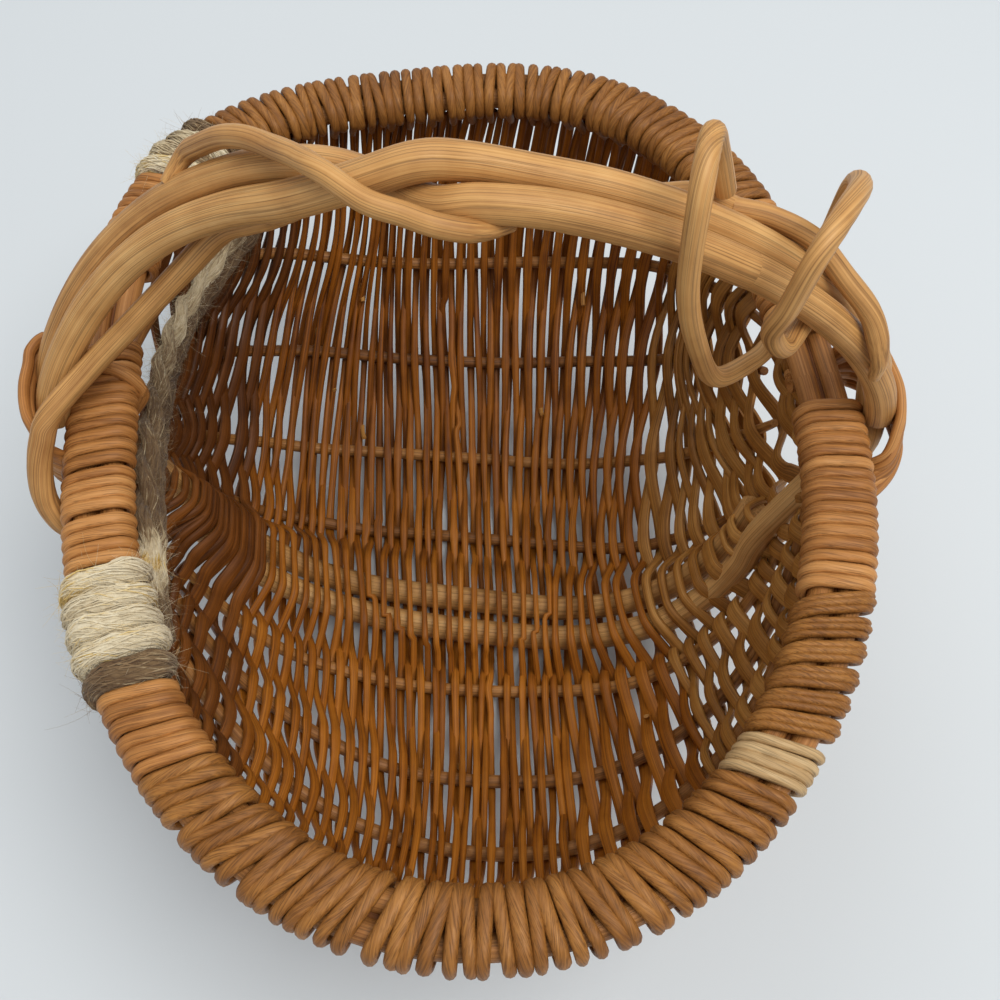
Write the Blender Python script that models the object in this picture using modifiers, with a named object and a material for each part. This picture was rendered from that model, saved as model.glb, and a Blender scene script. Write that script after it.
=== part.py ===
"""Oval rib basket of round cane with a fixed handle hoop, bound rim and wool accents.

Metres, +Z up. The origin is the middle of the flat underside. +Y points to the back of the
basket and the handle crosses it from ear to ear along X.
"""
import math

import bpy
import numpy as np

# Clearance between pieces that touch on the real basket
GAP = 0.0003

# Bowl: the rim is a rounded oval, the wall hangs from it as a rounded trough
RIM_HALF_WIDTH = 0.125
RIM_HALF_LENGTH_BACK = 0.161
RIM_HALF_LENGTH_FRONT = 0.166
BOWL_DEPTH = 0.150
WALL = 0.0045
FLAT_DROP = 0.0025
SECTION_POWER = 2.3
# How square the oval is at angles round the trough, from the back rim (0) to the front rim (180)
POWER_DEGREES = (0.0, 45.0, 91.0, 120.0, 180.0)
RIGHT_POWERS = (2.6, 2.9, 2.6, 2.2, 2.0)
LEFT_POWERS = (3.2, 4.2, 3.4, 2.2, 2.1)
RIM_HEIGHT = WALL / 2 - FLAT_DROP + BOWL_DEPTH
LENGTH_CENTRE = (RIM_HALF_LENGTH_FRONT - RIM_HALF_LENGTH_BACK) / 2

# Rim: two rods side by side under a binding of cane turns
RIM_ROD = 0.008
BINDING_CANE = 0.0038
BINDING_PITCH = 0.0074
WOOL_YARN = 0.0065
WOOL_PITCH = 0.0078

# Handle hoop: two thick rods that go right round, and three lighter strands
HOOP_ROD = 0.011
ROD_CLEARANCE = 0.0008
EAR_CLEARANCE = 0.0026
HANDLE_HALF_WIDTH = RIM_HALF_WIDTH + RIM_ROD + (ROD_CLEARANCE + HOOP_ROD) / 2 + EAR_CLEARANCE
HANDLE_RISE = 0.107
HANDLE_SKEW = 0.125
HANDLE_SHIFT = 0.0075
HANDLE_RIGHT_POWER, HANDLE_LEFT_POWER = 1.7, 1.54
LEFT_LEAN_SHARE = 0.071
LEFT_BOW = 0.0225
SIDE_STRAND = 0.007
TAIL_STRAND = 0.0067
LOOP_STRAND = 0.008
TENDRIL_STRAND = 0.0065

# Angles along the handle, from the right ear (0) to the left ear (180)
STUB_DEGREES = 50.0
EAR_LEFT_DEGREES, EAR_RIGHT_DEGREES = 177.0, 4.0
CROSS_LEFT_DEGREES, CROSS_RIGHT_DEGREES = 118.0, 78.0
TWIST_LEFT_DEGREES, TWIST_RIGHT_DEGREES = 80.0, 270.0
SIDE_STRAND_DEGREES = (76.0, 11.0)

# Routes of the free strands: shares of the handle's half width, of a reach to the back, of its rise
TAIL_REACH = 0.024
TAIL_SHARES = (
    (-0.520, 0.56, 0.790), (-0.468, 0.47, 0.860), (-0.418, 0.35, 0.922), (-0.369, 0.22, 0.964),
    (-0.313, 0.05, 0.992), (-0.262, -0.20, 1.034), (-0.215, -0.43, 1.058), (-0.145, -0.60, 1.034),
    (-0.075, -0.58, 1.010), (-0.013, -0.60, 0.990), (0.056, -0.60, 0.935), (0.122, -0.30, 0.884),
)
TENDRIL_REACH = 0.024
TENDRIL_SHARES = (
    (0.554, 0.50, 0.850), (0.519, 0.42, 1.006), (0.482, 0.08, 1.124), (0.444, -0.58, 1.067),
    (0.441, -0.83, 0.811), (0.485, -0.79, 0.568), (0.557, -0.54, 0.335), (0.668, 0.00, 0.240),
    (0.734, 0.38, 0.225), (0.805, 0.88, 0.288), (0.838, 1.08, 0.478), (0.840, 0.95, 0.751),
    (0.802, 0.35, 0.890), (0.728, -0.33, 0.957), (0.662, -0.83, 0.930), (0.627, -1.00, 0.785),
    (0.617, -0.92, 0.660), (0.676, -0.67, 0.518), (0.767, 0.04, 0.472),
)
LOOP_REACH = 0.040
LOOP_SHARES = (
    (-0.576, -0.15, 0.517), (-0.705, -0.30, 0.381), (-0.834, -0.39, 0.263), (-0.947, -0.51, 0.192),
    (-0.980, -0.61, 0.143), (-1.002, -0.73, 0.071), (-1.006, -0.90, -0.005), (-0.981, -1.08, -0.080),
)

# Where a hoop rod goes under the rim: shares of handle half width, bowl depth and way to the keel
EAR_PASSAGE_SHARES = ((0.985, 0.070, 0.05), (0.930, 0.145, 0.24))
KEEL_END_DEGREES = 20.0
KEEL_SPREAD = 0.0077
KEEL_CLEARANCE = 0.0010

# Ribs, as angles round the trough from the back rim (0) over the keel (90) to the front rim (180)
RIB_ROD = 0.0055
BACK_RIB_ANGLES = (30.2, 50.2, 69.8, 84.5)
FRONT_RIB_ANGLES = (106.5, 123.2, 139.1, 154.0)
KEEL_ANGLE = 95.5
# Towards the right ear every rib drifts forward, and towards both ears the back ribs rise
RIB_DRIFT_DEGREES = 5.4
RIB_RISE_SHARE = 0.105
RIB_END_DEGREES, KEEL_RIB_END_DEGREES = 12.0, 23.0
RIB_INWARD = (RIB_ROD - WALL) / 2 + GAP

# Ear lashings: five flat turns over each crossing of hoop and rim
LASHING_TURNS = 5
LASHING_PITCH = 0.0042
LASHING_THICKNESS = 0.0038
LASHING_REACH = 0.018
LASHING_FOOT = -0.0035
LASHING_BEND_SHARES = (0.55, 0.35, 0.45)
LASHING_CLEARANCE = 0.0006
GROOVE_SHARE = 0.55

# Rim bindings: name, start and end angle round the rim from the right ear, in degrees
BINDINGS = (
    ("rim_binding_back_right", 0.1, 89.6), ("rim_binding_back", 90.4, 120.6),
    ("rim_binding_left_back", 138.6, 174.6), ("rim_binding_left", 179.4, 193.6),
    ("rim_binding_front_left", 209.6, 269.7), ("rim_binding_front_right", 270.3, 350.8),
)
WOOL_BINDINGS = (("wool_binding_back", 121.2, 138.0), ("wool_binding_front", 194.2, 209.0))

# Yarn laid down the inside of the left wall
WOOL_ROW = 0.008
# Its route along the wall: turn and angle in degrees, and its clearance over the ribs' tops
WOOL_ROW_PLACES = (
    (120.12, 10.98), (125.18, 14.56), (130.91, 16.96), (149.51, 22.06), (165.04, 27.15), (175.18, 37.44),
    (177.56, 95.81), (172.76, 125.04), (168.79, 148.09), (163.09, 158.49), (157.99, 161.60),
)
WOOL_ROW_CLEARANCES = (
    0.00081, 0.00068, -0.00003, -0.00001, 0.00039, 0.00098, 0.00188, 0.00195, 0.00207, 0.00068, -0.00061,
)

# Wall panels; towards the left ear their top edges make room for the wool
WOOL_EDGE_SHARES = (-0.55, -0.42)
PANEL_GAP = 0.0006
PANEL_END_DEGREES, INNER_END_DEGREES, BOTTOM_END_DEGREES = 10.0, 17.5, 22.0
WALL_TOP_GAP = 0.0006

# Faces along and round the curved pieces
ROUND_SIDES = 8
HOOP_POINTS = 72
RIM_POINTS = 64
RIB_POINTS = 28
PANEL_STEPS = 19
PANEL_ROWS, WIDE_PANEL_ROWS = 4, 7
LASHING_STEPS = 13

COLOURS = {
    "cane": (0.56, 0.33, 0.15),
    "handle cane": (0.60, 0.38, 0.19),
    "dark cane": (0.36, 0.17, 0.06),
    "wool": (0.66, 0.60, 0.48),
}
ROUGHNESS = {"cane": 0.55, "handle cane": 0.5, "dark cane": 0.6, "wool": 0.95}


def clear_scene():
    for old in list(bpy.data.objects):
        bpy.data.objects.remove(old, do_unlink=True)


def make_collection(name):
    collection = bpy.data.collections.new(name)
    bpy.context.scene.collection.children.link(collection)
    return collection


def material(finish, name):
    """A Principled material of this finish for one piece."""
    made = bpy.data.materials.new(name + "_finish")
    made.use_nodes = True
    shader = made.node_tree.nodes["Principled BSDF"]
    shader.inputs["Base Color"].default_value = (*COLOURS[finish], 1.0)
    shader.inputs["Roughness"].default_value = ROUGHNESS[finish]
    shader.inputs["Metallic"].default_value = 0.0
    return made


def signed_power(value, power):
    return np.sign(value) * np.abs(value) ** power


def oval_power(turn, angle):
    """How square the oval is that a line along the wall follows at this angle."""
    degrees = np.degrees(angle)
    right = np.interp(degrees, POWER_DEGREES, RIGHT_POWERS)
    left = np.interp(degrees, POWER_DEGREES, LEFT_POWERS)
    return np.where(np.cos(turn) > 0, right, left)


def axis_place(x):
    """How far back the line between the two ears lies at this place across the basket."""
    return HANDLE_SHIFT - HANDLE_SKEW * x


def wall_middle(turn, angle):
    """Middle surface of the wall. turn runs from 0 (right ear) to pi (left ear), angle from
    0 (back rim) to pi (front rim). Each section is a superellipse, and shrinks to the ears."""
    turn, angle = np.broadcast_arrays(np.asarray(turn, float), np.asarray(angle, float))
    power = oval_power(turn, angle)
    size = np.abs(np.sin(turn)) ** (2 / power)
    x = RIM_HALF_WIDTH * signed_power(np.cos(turn), 2 / power)
    length = np.where(np.cos(angle) > 0, RIM_HALF_LENGTH_BACK, -RIM_HALF_LENGTH_FRONT)
    reach = LENGTH_CENTRE + length * size - axis_place(x)
    y = axis_place(x) + reach * np.abs(np.cos(angle)) ** (2 / SECTION_POWER)
    z = RIM_HEIGHT - BOWL_DEPTH * size * np.abs(np.sin(angle)) ** (2 / SECTION_POWER)
    return np.stack([x, y, np.maximum(z, WALL / 2)], -1)


def wall_point(turn, angle, inward=0.0):
    """A point this far to the inner side of the wall's middle, along the surface's normal."""
    step = 1e-3
    along = wall_middle(turn + step, angle) - wall_middle(turn - step, angle)
    round_ = wall_middle(turn, angle + step) - wall_middle(turn, angle - step)
    normal = np.cross(along, round_)
    normal /= np.linalg.norm(normal, axis=-1, keepdims=True)
    centre = np.array([0, LENGTH_CENTRE, RIM_HEIGHT])
    place = wall_middle(turn, angle)
    outward = np.sum(normal * (place - centre), axis=-1, keepdims=True)
    return place - inward * normal * np.sign(outward)


def rim_point(turn):
    """Centre line of the rim: turn is 0 at the right ear, a quarter turn at the back."""
    c, s = np.cos(turn), np.sin(turn)
    back_power = np.where(c > 0, RIGHT_POWERS[0], LEFT_POWERS[0])
    front_power = np.where(c > 0, RIGHT_POWERS[-1], LEFT_POWERS[-1])
    power = np.where(s > 0, back_power, front_power)
    length = np.where(s > 0, RIM_HALF_LENGTH_BACK, RIM_HALF_LENGTH_FRONT)
    x = RIM_HALF_WIDTH * signed_power(c, 2 / power)
    y = LENGTH_CENTRE + length * signed_power(s, 2 / power)
    return np.stack([x, y, np.full_like(x, RIM_HEIGHT)], -1)


def even_path(points, count, closed=False):
    """The same path with its points an equal distance apart."""
    points = np.asarray(points, float)
    if closed:
        points = np.concatenate([points, points[:1]])
    run = np.concatenate([[0], np.cumsum(np.linalg.norm(np.diff(points, axis=0), axis=1))])
    where = np.linspace(0, run[-1], count + 1)[:-1] if closed else np.linspace(0, run[-1], count)
    return np.stack([np.interp(where, run, points[:, axis]) for axis in range(3)], -1)


def smooth_path(points, count):
    """A smooth curve through hand-set points, cut into equal steps (Catmull-Rom)."""
    points = np.asarray(points, float)
    ends = np.concatenate([[2 * points[0] - points[1]], points, [2 * points[-1] - points[-2]]])
    t = np.linspace(0, 1, 12, endpoint=False)[:, None]
    pieces = []
    for a, b, c, d in zip(ends[:-3], ends[1:-2], ends[2:-1], ends[3:]):
        cubic = (-a + 3 * b - 3 * c + d) * t**3 + (2 * a - 5 * b + 4 * c - d) * t**2
        pieces.append((cubic + (c - a) * t + 2 * b) / 2)
    return even_path(np.concatenate(pieces + [points[-1:]]), count)


def add_rod(name, points, diameter, finish, closed=False, sides=2):
    """A round rod or strand along a path, as a curve with a bevel and filled caps."""
    curve = bpy.data.curves.new(name, "CURVE")
    curve.dimensions = "3D"
    curve.bevel_depth = diameter / 2
    curve.bevel_resolution = sides
    curve.use_fill_caps = True
    spline = curve.splines.new("POLY")
    spline.points.add(len(points) - 1)
    spline.points.foreach_set("co", np.column_stack([points, np.ones(len(points))]).ravel())
    spline.use_cyclic_u = closed
    spline.use_smooth = True
    curve.materials.append(material(finish, name))
    rod = bpy.data.objects.new(name, curve)
    BASKET.objects.link(rod)
    return rod


def add_mesh(name, points, faces, finish):
    mesh = bpy.data.meshes.new(name)
    mesh.from_pydata(points.tolist(), [], faces)
    mesh.update()
    mesh.shade_smooth()
    mesh.set_sharp_from_angle(angle=math.radians(40))
    mesh.materials.append(material(finish, name))
    piece = bpy.data.objects.new(name, mesh)
    BASKET.objects.link(piece)
    return piece


def rim_frame(turn):
    """Rim centre line points with their outward direction in the rim's plane."""
    step = 1e-4
    ahead = rim_point(turn + step) - rim_point(turn - step)
    ahead /= np.linalg.norm(ahead, axis=1, keepdims=True)
    outward = np.stack([ahead[:, 1], -ahead[:, 0], 0 * ahead[:, 0]], -1)
    return rim_point(turn), outward


def even_turns(start, end, count):
    """Angles along the rim from start to end, in degrees, that are an equal distance apart."""
    fine = np.radians(np.linspace(start, end, 2000))
    run = np.linalg.norm(np.diff(rim_point(fine), axis=0), axis=1)
    run = np.concatenate([[0], np.cumsum(run)])
    return np.interp(np.linspace(0, run[-1], count), run, fine), run[-1]


def add_rim_rods():
    """The two rods lie side by side, half a rod and half a clearance off the rim's centre."""
    turn, _ = even_turns(0, 360, RIM_POINTS + 1)
    centre, outward = rim_frame(turn[:-1])
    off = (RIM_ROD + ROD_CLEARANCE) / 2
    add_rod("rim_rod_outer", centre + off * outward, RIM_ROD, "dark cane", closed=True, sides=1)
    add_rod("rim_rod_inner", centre - off * outward, RIM_ROD, "dark cane", closed=True, sides=1)


def stadium(thickness, sides):
    """Outline round both rim rods, this far off their surface: (outward, up) pairs."""
    angle = np.linspace(0, 2 * math.pi, sides, endpoint=False) + math.pi / sides
    off = (RIM_ROD + ROD_CLEARANCE) / 2
    radius = (RIM_ROD / 2 + thickness) / math.cos(math.pi / sides)
    outward = np.sign(np.cos(angle)) * off + radius * np.cos(angle)
    return np.stack([outward, radius * np.sin(angle)], -1)


def add_binding(name, start, end, strand, pitch, finish):
    """Turns of cane or yarn round the rim: a sleeve whose outside swells once for each turn.
    Outer rings alternate between the crest of a turn and the groove beside it."""
    _, run = even_turns(start, end, 2)
    turns = max(2, round(run / pitch))
    turn, _ = even_turns(start, end, 2 * turns + 1)
    centre, outward = rim_frame(turn)
    up = np.array([0, 0, 1.0])
    crest, groove, bore = GAP + strand, GAP + strand * GROOVE_SHARE, GAP
    sides = ROUND_SIDES
    rings = []
    for index in range(len(turn)):
        outline = stadium(crest if index % 2 else groove, sides)
        rings.append(centre[index] + outline[:, :1] * outward[index] + outline[:, 1:] * up)
    inner = [i for i in range(len(turn)) if i % 2 == 0]
    for index in reversed(inner):
        outline = stadium(bore, sides)
        rings.append(centre[index] + outline[:, :1] * outward[index] + outline[:, 1:] * up)
    faces = []
    count = len(rings)
    for ring in range(count):
        after = (ring + 1) % count
        for side in range(sides):
            beside = (side + 1) % sides
            faces.append((ring * sides + side, after * sides + side,
                          after * sides + beside, ring * sides + beside))
    return add_mesh(name, np.concatenate(rings), faces, finish)


def handle_middle(angle):
    """Middle line of the handle arch: 0 at the right ear, pi at the left ear. The left arm leans
    in and bows to the back."""
    left = np.cos(angle) < 0
    power = np.where(left, HANDLE_LEFT_POWER, HANDLE_RIGHT_POWER)
    lean = 1 - np.where(left, LEFT_LEAN_SHARE, 0) * np.sin(angle) ** 2
    x = HANDLE_HALF_WIDTH * signed_power(np.cos(angle), 2 / power) * lean
    bow = np.where(left, LEFT_BOW, 0) * np.sin(2 * angle) ** 2
    z = RIM_HEIGHT + HANDLE_RISE * np.abs(np.sin(angle)) ** (2 / power)
    return np.stack([x, axis_place(x) + bow, z], -1)


def round_handle(angle, radius, lean):
    """A point off the arch: lean is 0 outward of the arch and a quarter turn to the back."""
    step = 1e-4
    ahead = handle_middle(angle + step) - handle_middle(angle - step)
    ahead /= np.linalg.norm(ahead, axis=-1, keepdims=True)
    out = np.cross((HANDLE_SKEW, 1.0, 0.0), ahead)
    out /= np.linalg.norm(out, axis=-1, keepdims=True)
    back = np.cross(ahead, out)
    radius, lean = np.asarray(radius)[..., None], np.asarray(lean)[..., None]
    return handle_middle(angle) + radius * (np.cos(lean) * out + np.sin(lean) * back)


def twist(angle):
    """Lean of the first rod: behind at the left, below at the crossing, in front at the right."""
    start, end = math.radians(CROSS_RIGHT_DEGREES), math.radians(CROSS_LEFT_DEGREES)
    share = np.clip((angle - start) / (end - start), 0, 1)
    share = share * share * (3 - 2 * share)
    return np.radians(TWIST_RIGHT_DEGREES + (TWIST_LEFT_DEGREES - TWIST_RIGHT_DEGREES) * share)


def rib_angle(turn, degrees):
    """Angle of a rib at each turn: its own at the middle, with the drift and rise to the ears."""
    across = wall_middle(turn, math.radians(degrees))[..., 0] / RIM_HALF_WIDTH
    rise = RIB_RISE_SHARE * max(KEEL_ANGLE - degrees, 0) * across**2
    return np.radians(degrees + RIB_DRIFT_DEGREES * across - rise)


def keel_run(side, start, end):
    """One keel rod along the inside of the bottom, off the keel line to its own side."""
    turn = np.radians(np.linspace(start, end, 19))
    angle = edge_angle(turn, rib_angle(turn, KEEL_ANGLE), -side * KEEL_SPREAD)
    return wall_point(turn, angle, WALL / 2 + KEEL_CLEARANCE + HOOP_ROD / 2)


def ear_passage(sign, side, keel_end):
    """Two places where a hoop rod goes from the inside of the wall under the rim to its outside."""
    ear = axis_place(sign * HANDLE_HALF_WIDTH) + side * (HOOP_ROD + ROD_CLEARANCE) / 2
    places = []
    for width_share, drop_share, inner_share in EAR_PASSAGE_SHARES:
        x = sign * HANDLE_HALF_WIDTH * width_share
        y = ear + (keel_end[1] - ear) * inner_share
        places.append((x, y, RIM_HEIGHT - BOWL_DEPTH * drop_share))
    return np.array(places)


def add_hoop():
    """First rod: from its stub over the handle to the left ear and back along the keel.
    Second rod: from the left ear over the handle to the right ear and back along the keel."""
    off = (HOOP_ROD + ROD_CLEARANCE) / 2
    over = np.radians(np.linspace(STUB_DEGREES, EAR_LEFT_DEGREES, 16))
    first_top = round_handle(over, np.full_like(over, off), twist(over))
    first_keel = keel_run(1, 180 - KEEL_END_DEGREES, KEEL_END_DEGREES)
    first = np.concatenate([first_top, ear_passage(-1, 1, first_keel[0]), first_keel])
    add_rod("hoop_rod_first", smooth_path(first, HOOP_POINTS), HOOP_ROD, "handle cane")
    over = np.radians(np.linspace(EAR_LEFT_DEGREES, EAR_RIGHT_DEGREES, 20))
    second_top = round_handle(over, np.full_like(over, off), twist(over) + math.pi)
    second_keel = keel_run(-1, KEEL_END_DEGREES, 180 - KEEL_END_DEGREES)
    second = np.concatenate([second_top, ear_passage(1, -1, second_keel[0]), second_keel])
    add_rod("hoop_rod_second", smooth_path(second, HOOP_POINTS), HOOP_ROD, "handle cane")


def add_handle_strands():
    over = np.radians(np.linspace(*SIDE_STRAND_DEGREES, 24))
    radius = (HOOP_ROD + ROD_CLEARANCE) / 2 + (HOOP_ROD + SIDE_STRAND) / 2 + ROD_CLEARANCE
    side = round_handle(over, np.full_like(over, radius), np.full_like(over, math.radians(90)))
    add_rod("handle_side_strand", even_path(side, 24), SIDE_STRAND, "handle cane")
    tail = smooth_path(share_route(TAIL_SHARES, TAIL_REACH), 30)
    add_rod("handle_tail_strand", tail, TAIL_STRAND, "handle cane")


def share_route(shares, reach):
    """Hand-set places as shares of the handle's half width, a reach to the back and its rise.
    The reach counts from the handle's own middle, with its bow."""
    shares = np.asarray(shares, float)
    x = shares[:, 0] * HANDLE_HALF_WIDTH
    arch = handle_middle(np.linspace(math.pi, 0, 400))
    bow = arch[:, 1] - axis_place(arch[:, 0])
    y = axis_place(x) + np.interp(x, arch[:, 0], bow) + shares[:, 1] * reach
    return np.stack([x, y, RIM_HEIGHT + shares[:, 2] * HANDLE_RISE], -1)


def add_loops():
    tendril = smooth_path(share_route(TENDRIL_SHARES, TENDRIL_REACH), 56)
    add_rod("handle_tendril", tendril, TENDRIL_STRAND, "handle cane")
    loop = smooth_path(share_route(LOOP_SHARES, LOOP_REACH), 36)
    add_rod("ear_loop_left", loop, LOOP_STRAND, "handle cane")
    for name, path, size in (("tendril", tendril, TENDRIL_STRAND), ("ear loop", loop, LOOP_STRAND)):
        print(name, "least gap to itself, mm:", round(1000 * least_gap(path, size), 2))


def least_gap(path, diameter):
    """Least free distance between parts of a strand that lie well apart along it."""
    far = np.linalg.norm(path[:, None] - path[None], axis=-1)
    run = np.concatenate([[0], np.cumsum(np.linalg.norm(np.diff(path, axis=0), axis=1))])
    apart = np.abs(run[:, None] - run[None]) > 4 * diameter
    return float(far[apart].min() - diameter)


def add_ribs():
    groups = (("rib_back", BACK_RIB_ANGLES), ("rib_front", FRONT_RIB_ANGLES[::-1]))
    for stem, angles in groups:
        for number, angle in enumerate(angles, 1):
            end = KEEL_RIB_END_DEGREES if number == len(angles) else RIB_END_DEGREES
            turn = np.radians(np.linspace(180 - end, end, 90))
            path = even_path(wall_point(turn, rib_angle(turn, angle), RIB_INWARD), RIB_POINTS)
            add_rod(f"{stem}_{number}", path, RIB_ROD, "dark cane", sides=1)


def edge_angle(turn, angle, clear):
    """The angle that lies this far along the wall from a rib's centre line, to either side."""
    step = 1e-3
    ahead = wall_middle(turn, angle + step) - wall_middle(turn, angle - step)
    return angle + clear * 2 * step / np.linalg.norm(ahead, axis=-1)


def top_angle(turn, front=False):
    """The angle at which the wall meets the underside of the rim's binding."""
    across = wall_middle(turn, math.pi if front else 0.0)[:, 0] / RIM_HALF_WIDTH
    wool_share = (WOOL_EDGE_SHARES[1] - across) / (WOOL_EDGE_SHARES[1] - WOOL_EDGE_SHARES[0])
    cover = BINDING_CANE + (WOOL_YARN - BINDING_CANE) * np.clip(wool_share, 0, 1)
    drop = RIM_ROD / 2 + GAP + cover + WALL_TOP_GAP
    trial = np.linspace(0, math.pi / 2, 600)
    shown = math.pi - trial if front else trial
    height = wall_middle(turn[:, None], shown[None])[..., 2]
    return shown[np.argmax(height < (RIM_HEIGHT - drop)[:, None], axis=1)]


def add_panel(name, low, high, count, end):
    """Woven wall between two edges, each a function of the turn that gives an angle."""
    turn = np.radians(np.linspace(180 - end, end, PANEL_STEPS))
    share = np.linspace(0, 1, count)[None]
    start, stop = low(turn)[:, None], high(turn)[:, None]
    place = wall_point(turn[:, None] + 0 * share, start + (stop - start) * share)
    faces = []
    for i in range(PANEL_STEPS - 1):
        for j in range(count - 1):
            here, after = i * count + j, (i + 1) * count + j
            faces.append((here, here + 1, after + 1, after))
    panel = add_mesh(name, place.reshape(-1, 3), faces, "cane")
    wall = panel.modifiers.new("wall", "SOLIDIFY")
    wall.thickness = WALL
    wall.offset = 0
    wall.use_even_offset = False
    return panel


def add_wall():
    """Nine woven panels lie between the ribs, and the middle one passes under the keel."""
    clear = RIB_ROD / 2 + PANEL_GAP
    edges = [top_angle]
    for angle in (*BACK_RIB_ANGLES, *FRONT_RIB_ANGLES):
        edges.append(lambda turn, a=angle: edge_angle(turn, rib_angle(turn, a), -clear))
        edges.append(lambda turn, a=angle: edge_angle(turn, rib_angle(turn, a), clear))
    edges.append(lambda turn: top_angle(turn, front=True))
    names = ["woven_back_1", "woven_back_2", "woven_back_3", "woven_back_4", "woven_bottom",
             "woven_front_4", "woven_front_3", "woven_front_2", "woven_front_1"]
    for index, name in enumerate(names):
        rows = WIDE_PANEL_ROWS if name.endswith("_1") else PANEL_ROWS
        end = INNER_END_DEGREES if name.endswith("_4") else PANEL_END_DEGREES
        end = BOTTOM_END_DEGREES if name == "woven_bottom" else end
        add_panel(name, edges[2 * index], edges[2 * index + 1], rows, end)


def add_wool_row():
    """Thick yarn laid down the inside of the left wall, from the back rim to the front rim."""
    turn, angle = np.radians(WOOL_ROW_PLACES).T
    inward = RIB_INWARD + (RIB_ROD + WOOL_ROW) / 2 + np.array(WOOL_ROW_CLEARANCES)
    route = wall_point(turn, angle, inward[:, None])
    add_rod("wool_row", smooth_path(route, 44), WOOL_ROW, "wool")


def add_lashing(name, sign):
    """Flat turns that hold the hoop to the rim: a band of ridges bent round the hoop's outside."""
    x_hoop = sign * HANDLE_HALF_WIDTH
    y_hoop = axis_place(x_hoop)
    hoop_half = HOOP_ROD + ROD_CLEARANCE / 2
    inner = HOOP_ROD / 2 + LASHING_CLEARANCE
    out_share, beyond_share, flat_share = LASHING_BEND_SHARES
    corner = (inner * out_share, hoop_half + inner * beyond_share)
    route = [(LASHING_FOOT, -LASHING_REACH), (corner[0], -corner[1]), (inner, -hoop_half * flat_share),
             (inner, hoop_half * flat_share), corner, (LASHING_FOOT, LASHING_REACH)]
    base = smooth_path([(sign * out, along, 0) for out, along in route], LASHING_STEPS)
    base += np.array([x_hoop, y_hoop, 0])
    ahead = np.gradient(base, axis=0)
    ahead /= np.linalg.norm(ahead, axis=1, keepdims=True)
    outward = np.cross(ahead, (0, 0, 1.0))
    outward *= np.sign(outward[LASHING_STEPS // 2, 0] * sign)
    profile = []
    half = LASHING_TURNS * LASHING_PITCH / 2
    for index in range(2 * LASHING_TURNS + 1):
        up = -half + index * LASHING_PITCH / 2
        thick = LASHING_THICKNESS if index % 2 else LASHING_THICKNESS * GROOVE_SHARE
        profile.append((thick, up))
    profile += [(0, half), (0, -half)]
    profile = np.array(profile)
    up = np.array([0, 0, 1.0])
    rings = base[:, None] + profile[:, :1] * outward[:, None] + (profile[:, 1:] + RIM_HEIGHT) * up
    count = len(profile)
    faces = []
    for i in range(len(rings) - 1):
        for j in range(count):
            k = (j + 1) % count
            here, after = i * count, (i + 1) * count
            faces.append((here + j, after + j, after + k, here + k))
    faces.append(tuple(range(count)))
    faces.append(tuple(range((len(rings) - 1) * count, len(rings) * count))[::-1])
    if sign < 0:
        faces = [face[::-1] for face in faces]
    return add_mesh(name, rings.reshape(-1, 3), faces, "cane")


clear_scene()
BASKET = make_collection("knitting_basket")
add_rim_rods()
add_hoop()
add_handle_strands()
add_loops()
add_ribs()
add_wall()
add_wool_row()
for binding, start, end in BINDINGS:
    add_binding(binding, start, end, BINDING_CANE, BINDING_PITCH, "cane")
for binding, start, end in WOOL_BINDINGS:
    add_binding(binding, start, end, WOOL_YARN, WOOL_PITCH, "wool")
add_lashing("ear_lashing_left", -1)
add_lashing("ear_lashing_right", 1)
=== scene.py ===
# %% [markdown]
# # A knitting basket of round cane
# An oval rib basket: two hoops cross at the ears, ribs run from ear to ear, and thin reed is woven
# over and under them from the back rim to the front rim. The solids come first as a fixed frame,
# and each cell below dresses one part of it. Everything is in metres, with +Z up.

# %% Load the frame
import math

import bpy
import numpy as np
from mathutils import Matrix, Vector


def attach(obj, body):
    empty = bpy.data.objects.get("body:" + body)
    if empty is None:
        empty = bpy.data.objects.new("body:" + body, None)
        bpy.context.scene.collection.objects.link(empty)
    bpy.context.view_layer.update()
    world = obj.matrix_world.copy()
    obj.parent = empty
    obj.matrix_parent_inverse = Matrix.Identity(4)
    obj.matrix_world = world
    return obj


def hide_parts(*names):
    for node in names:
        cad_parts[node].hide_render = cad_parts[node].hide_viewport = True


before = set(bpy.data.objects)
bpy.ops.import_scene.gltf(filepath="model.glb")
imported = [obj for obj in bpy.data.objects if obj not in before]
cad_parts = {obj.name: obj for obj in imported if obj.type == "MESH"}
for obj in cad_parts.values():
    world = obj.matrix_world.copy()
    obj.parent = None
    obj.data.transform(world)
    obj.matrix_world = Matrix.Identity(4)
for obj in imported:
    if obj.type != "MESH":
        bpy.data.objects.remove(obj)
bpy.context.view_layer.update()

# %% [markdown]
# ## The basket's shape as two formulas
# The rim is a rounded oval. The wall hangs from it as a trough: `turn` walks round from the right
# ear (0) to the left ear (half a turn), and `angle` walks from the back rim (0) under the keel (a
# quarter turn) to the front rim (half a turn). Every rib, row and yarn is a curve on this surface.

# %% Sizes of the basket
RIM_HALF_WIDTH, RIM_BACK, RIM_FRONT = 0.125, 0.161, 0.166
BOWL_DEPTH, WALL, FLAT_DROP, SECTION_POWER = 0.150, 0.0045, 0.0025, 2.3
RIM_HEIGHT = WALL / 2 - FLAT_DROP + BOWL_DEPTH
LENGTH_CENTRE = (RIM_FRONT - RIM_BACK) / 2
POWER_DEGREES = (0, 45, 91, 120, 180)
RIGHT_POWERS, LEFT_POWERS = (2.6, 2.9, 2.6, 2.2, 2.0), (3.2, 4.2, 3.4, 2.2, 2.1)
SKEW, SHIFT = 0.125, 0.0075
UP = np.array([0.0, 0.0, 1.0])


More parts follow.
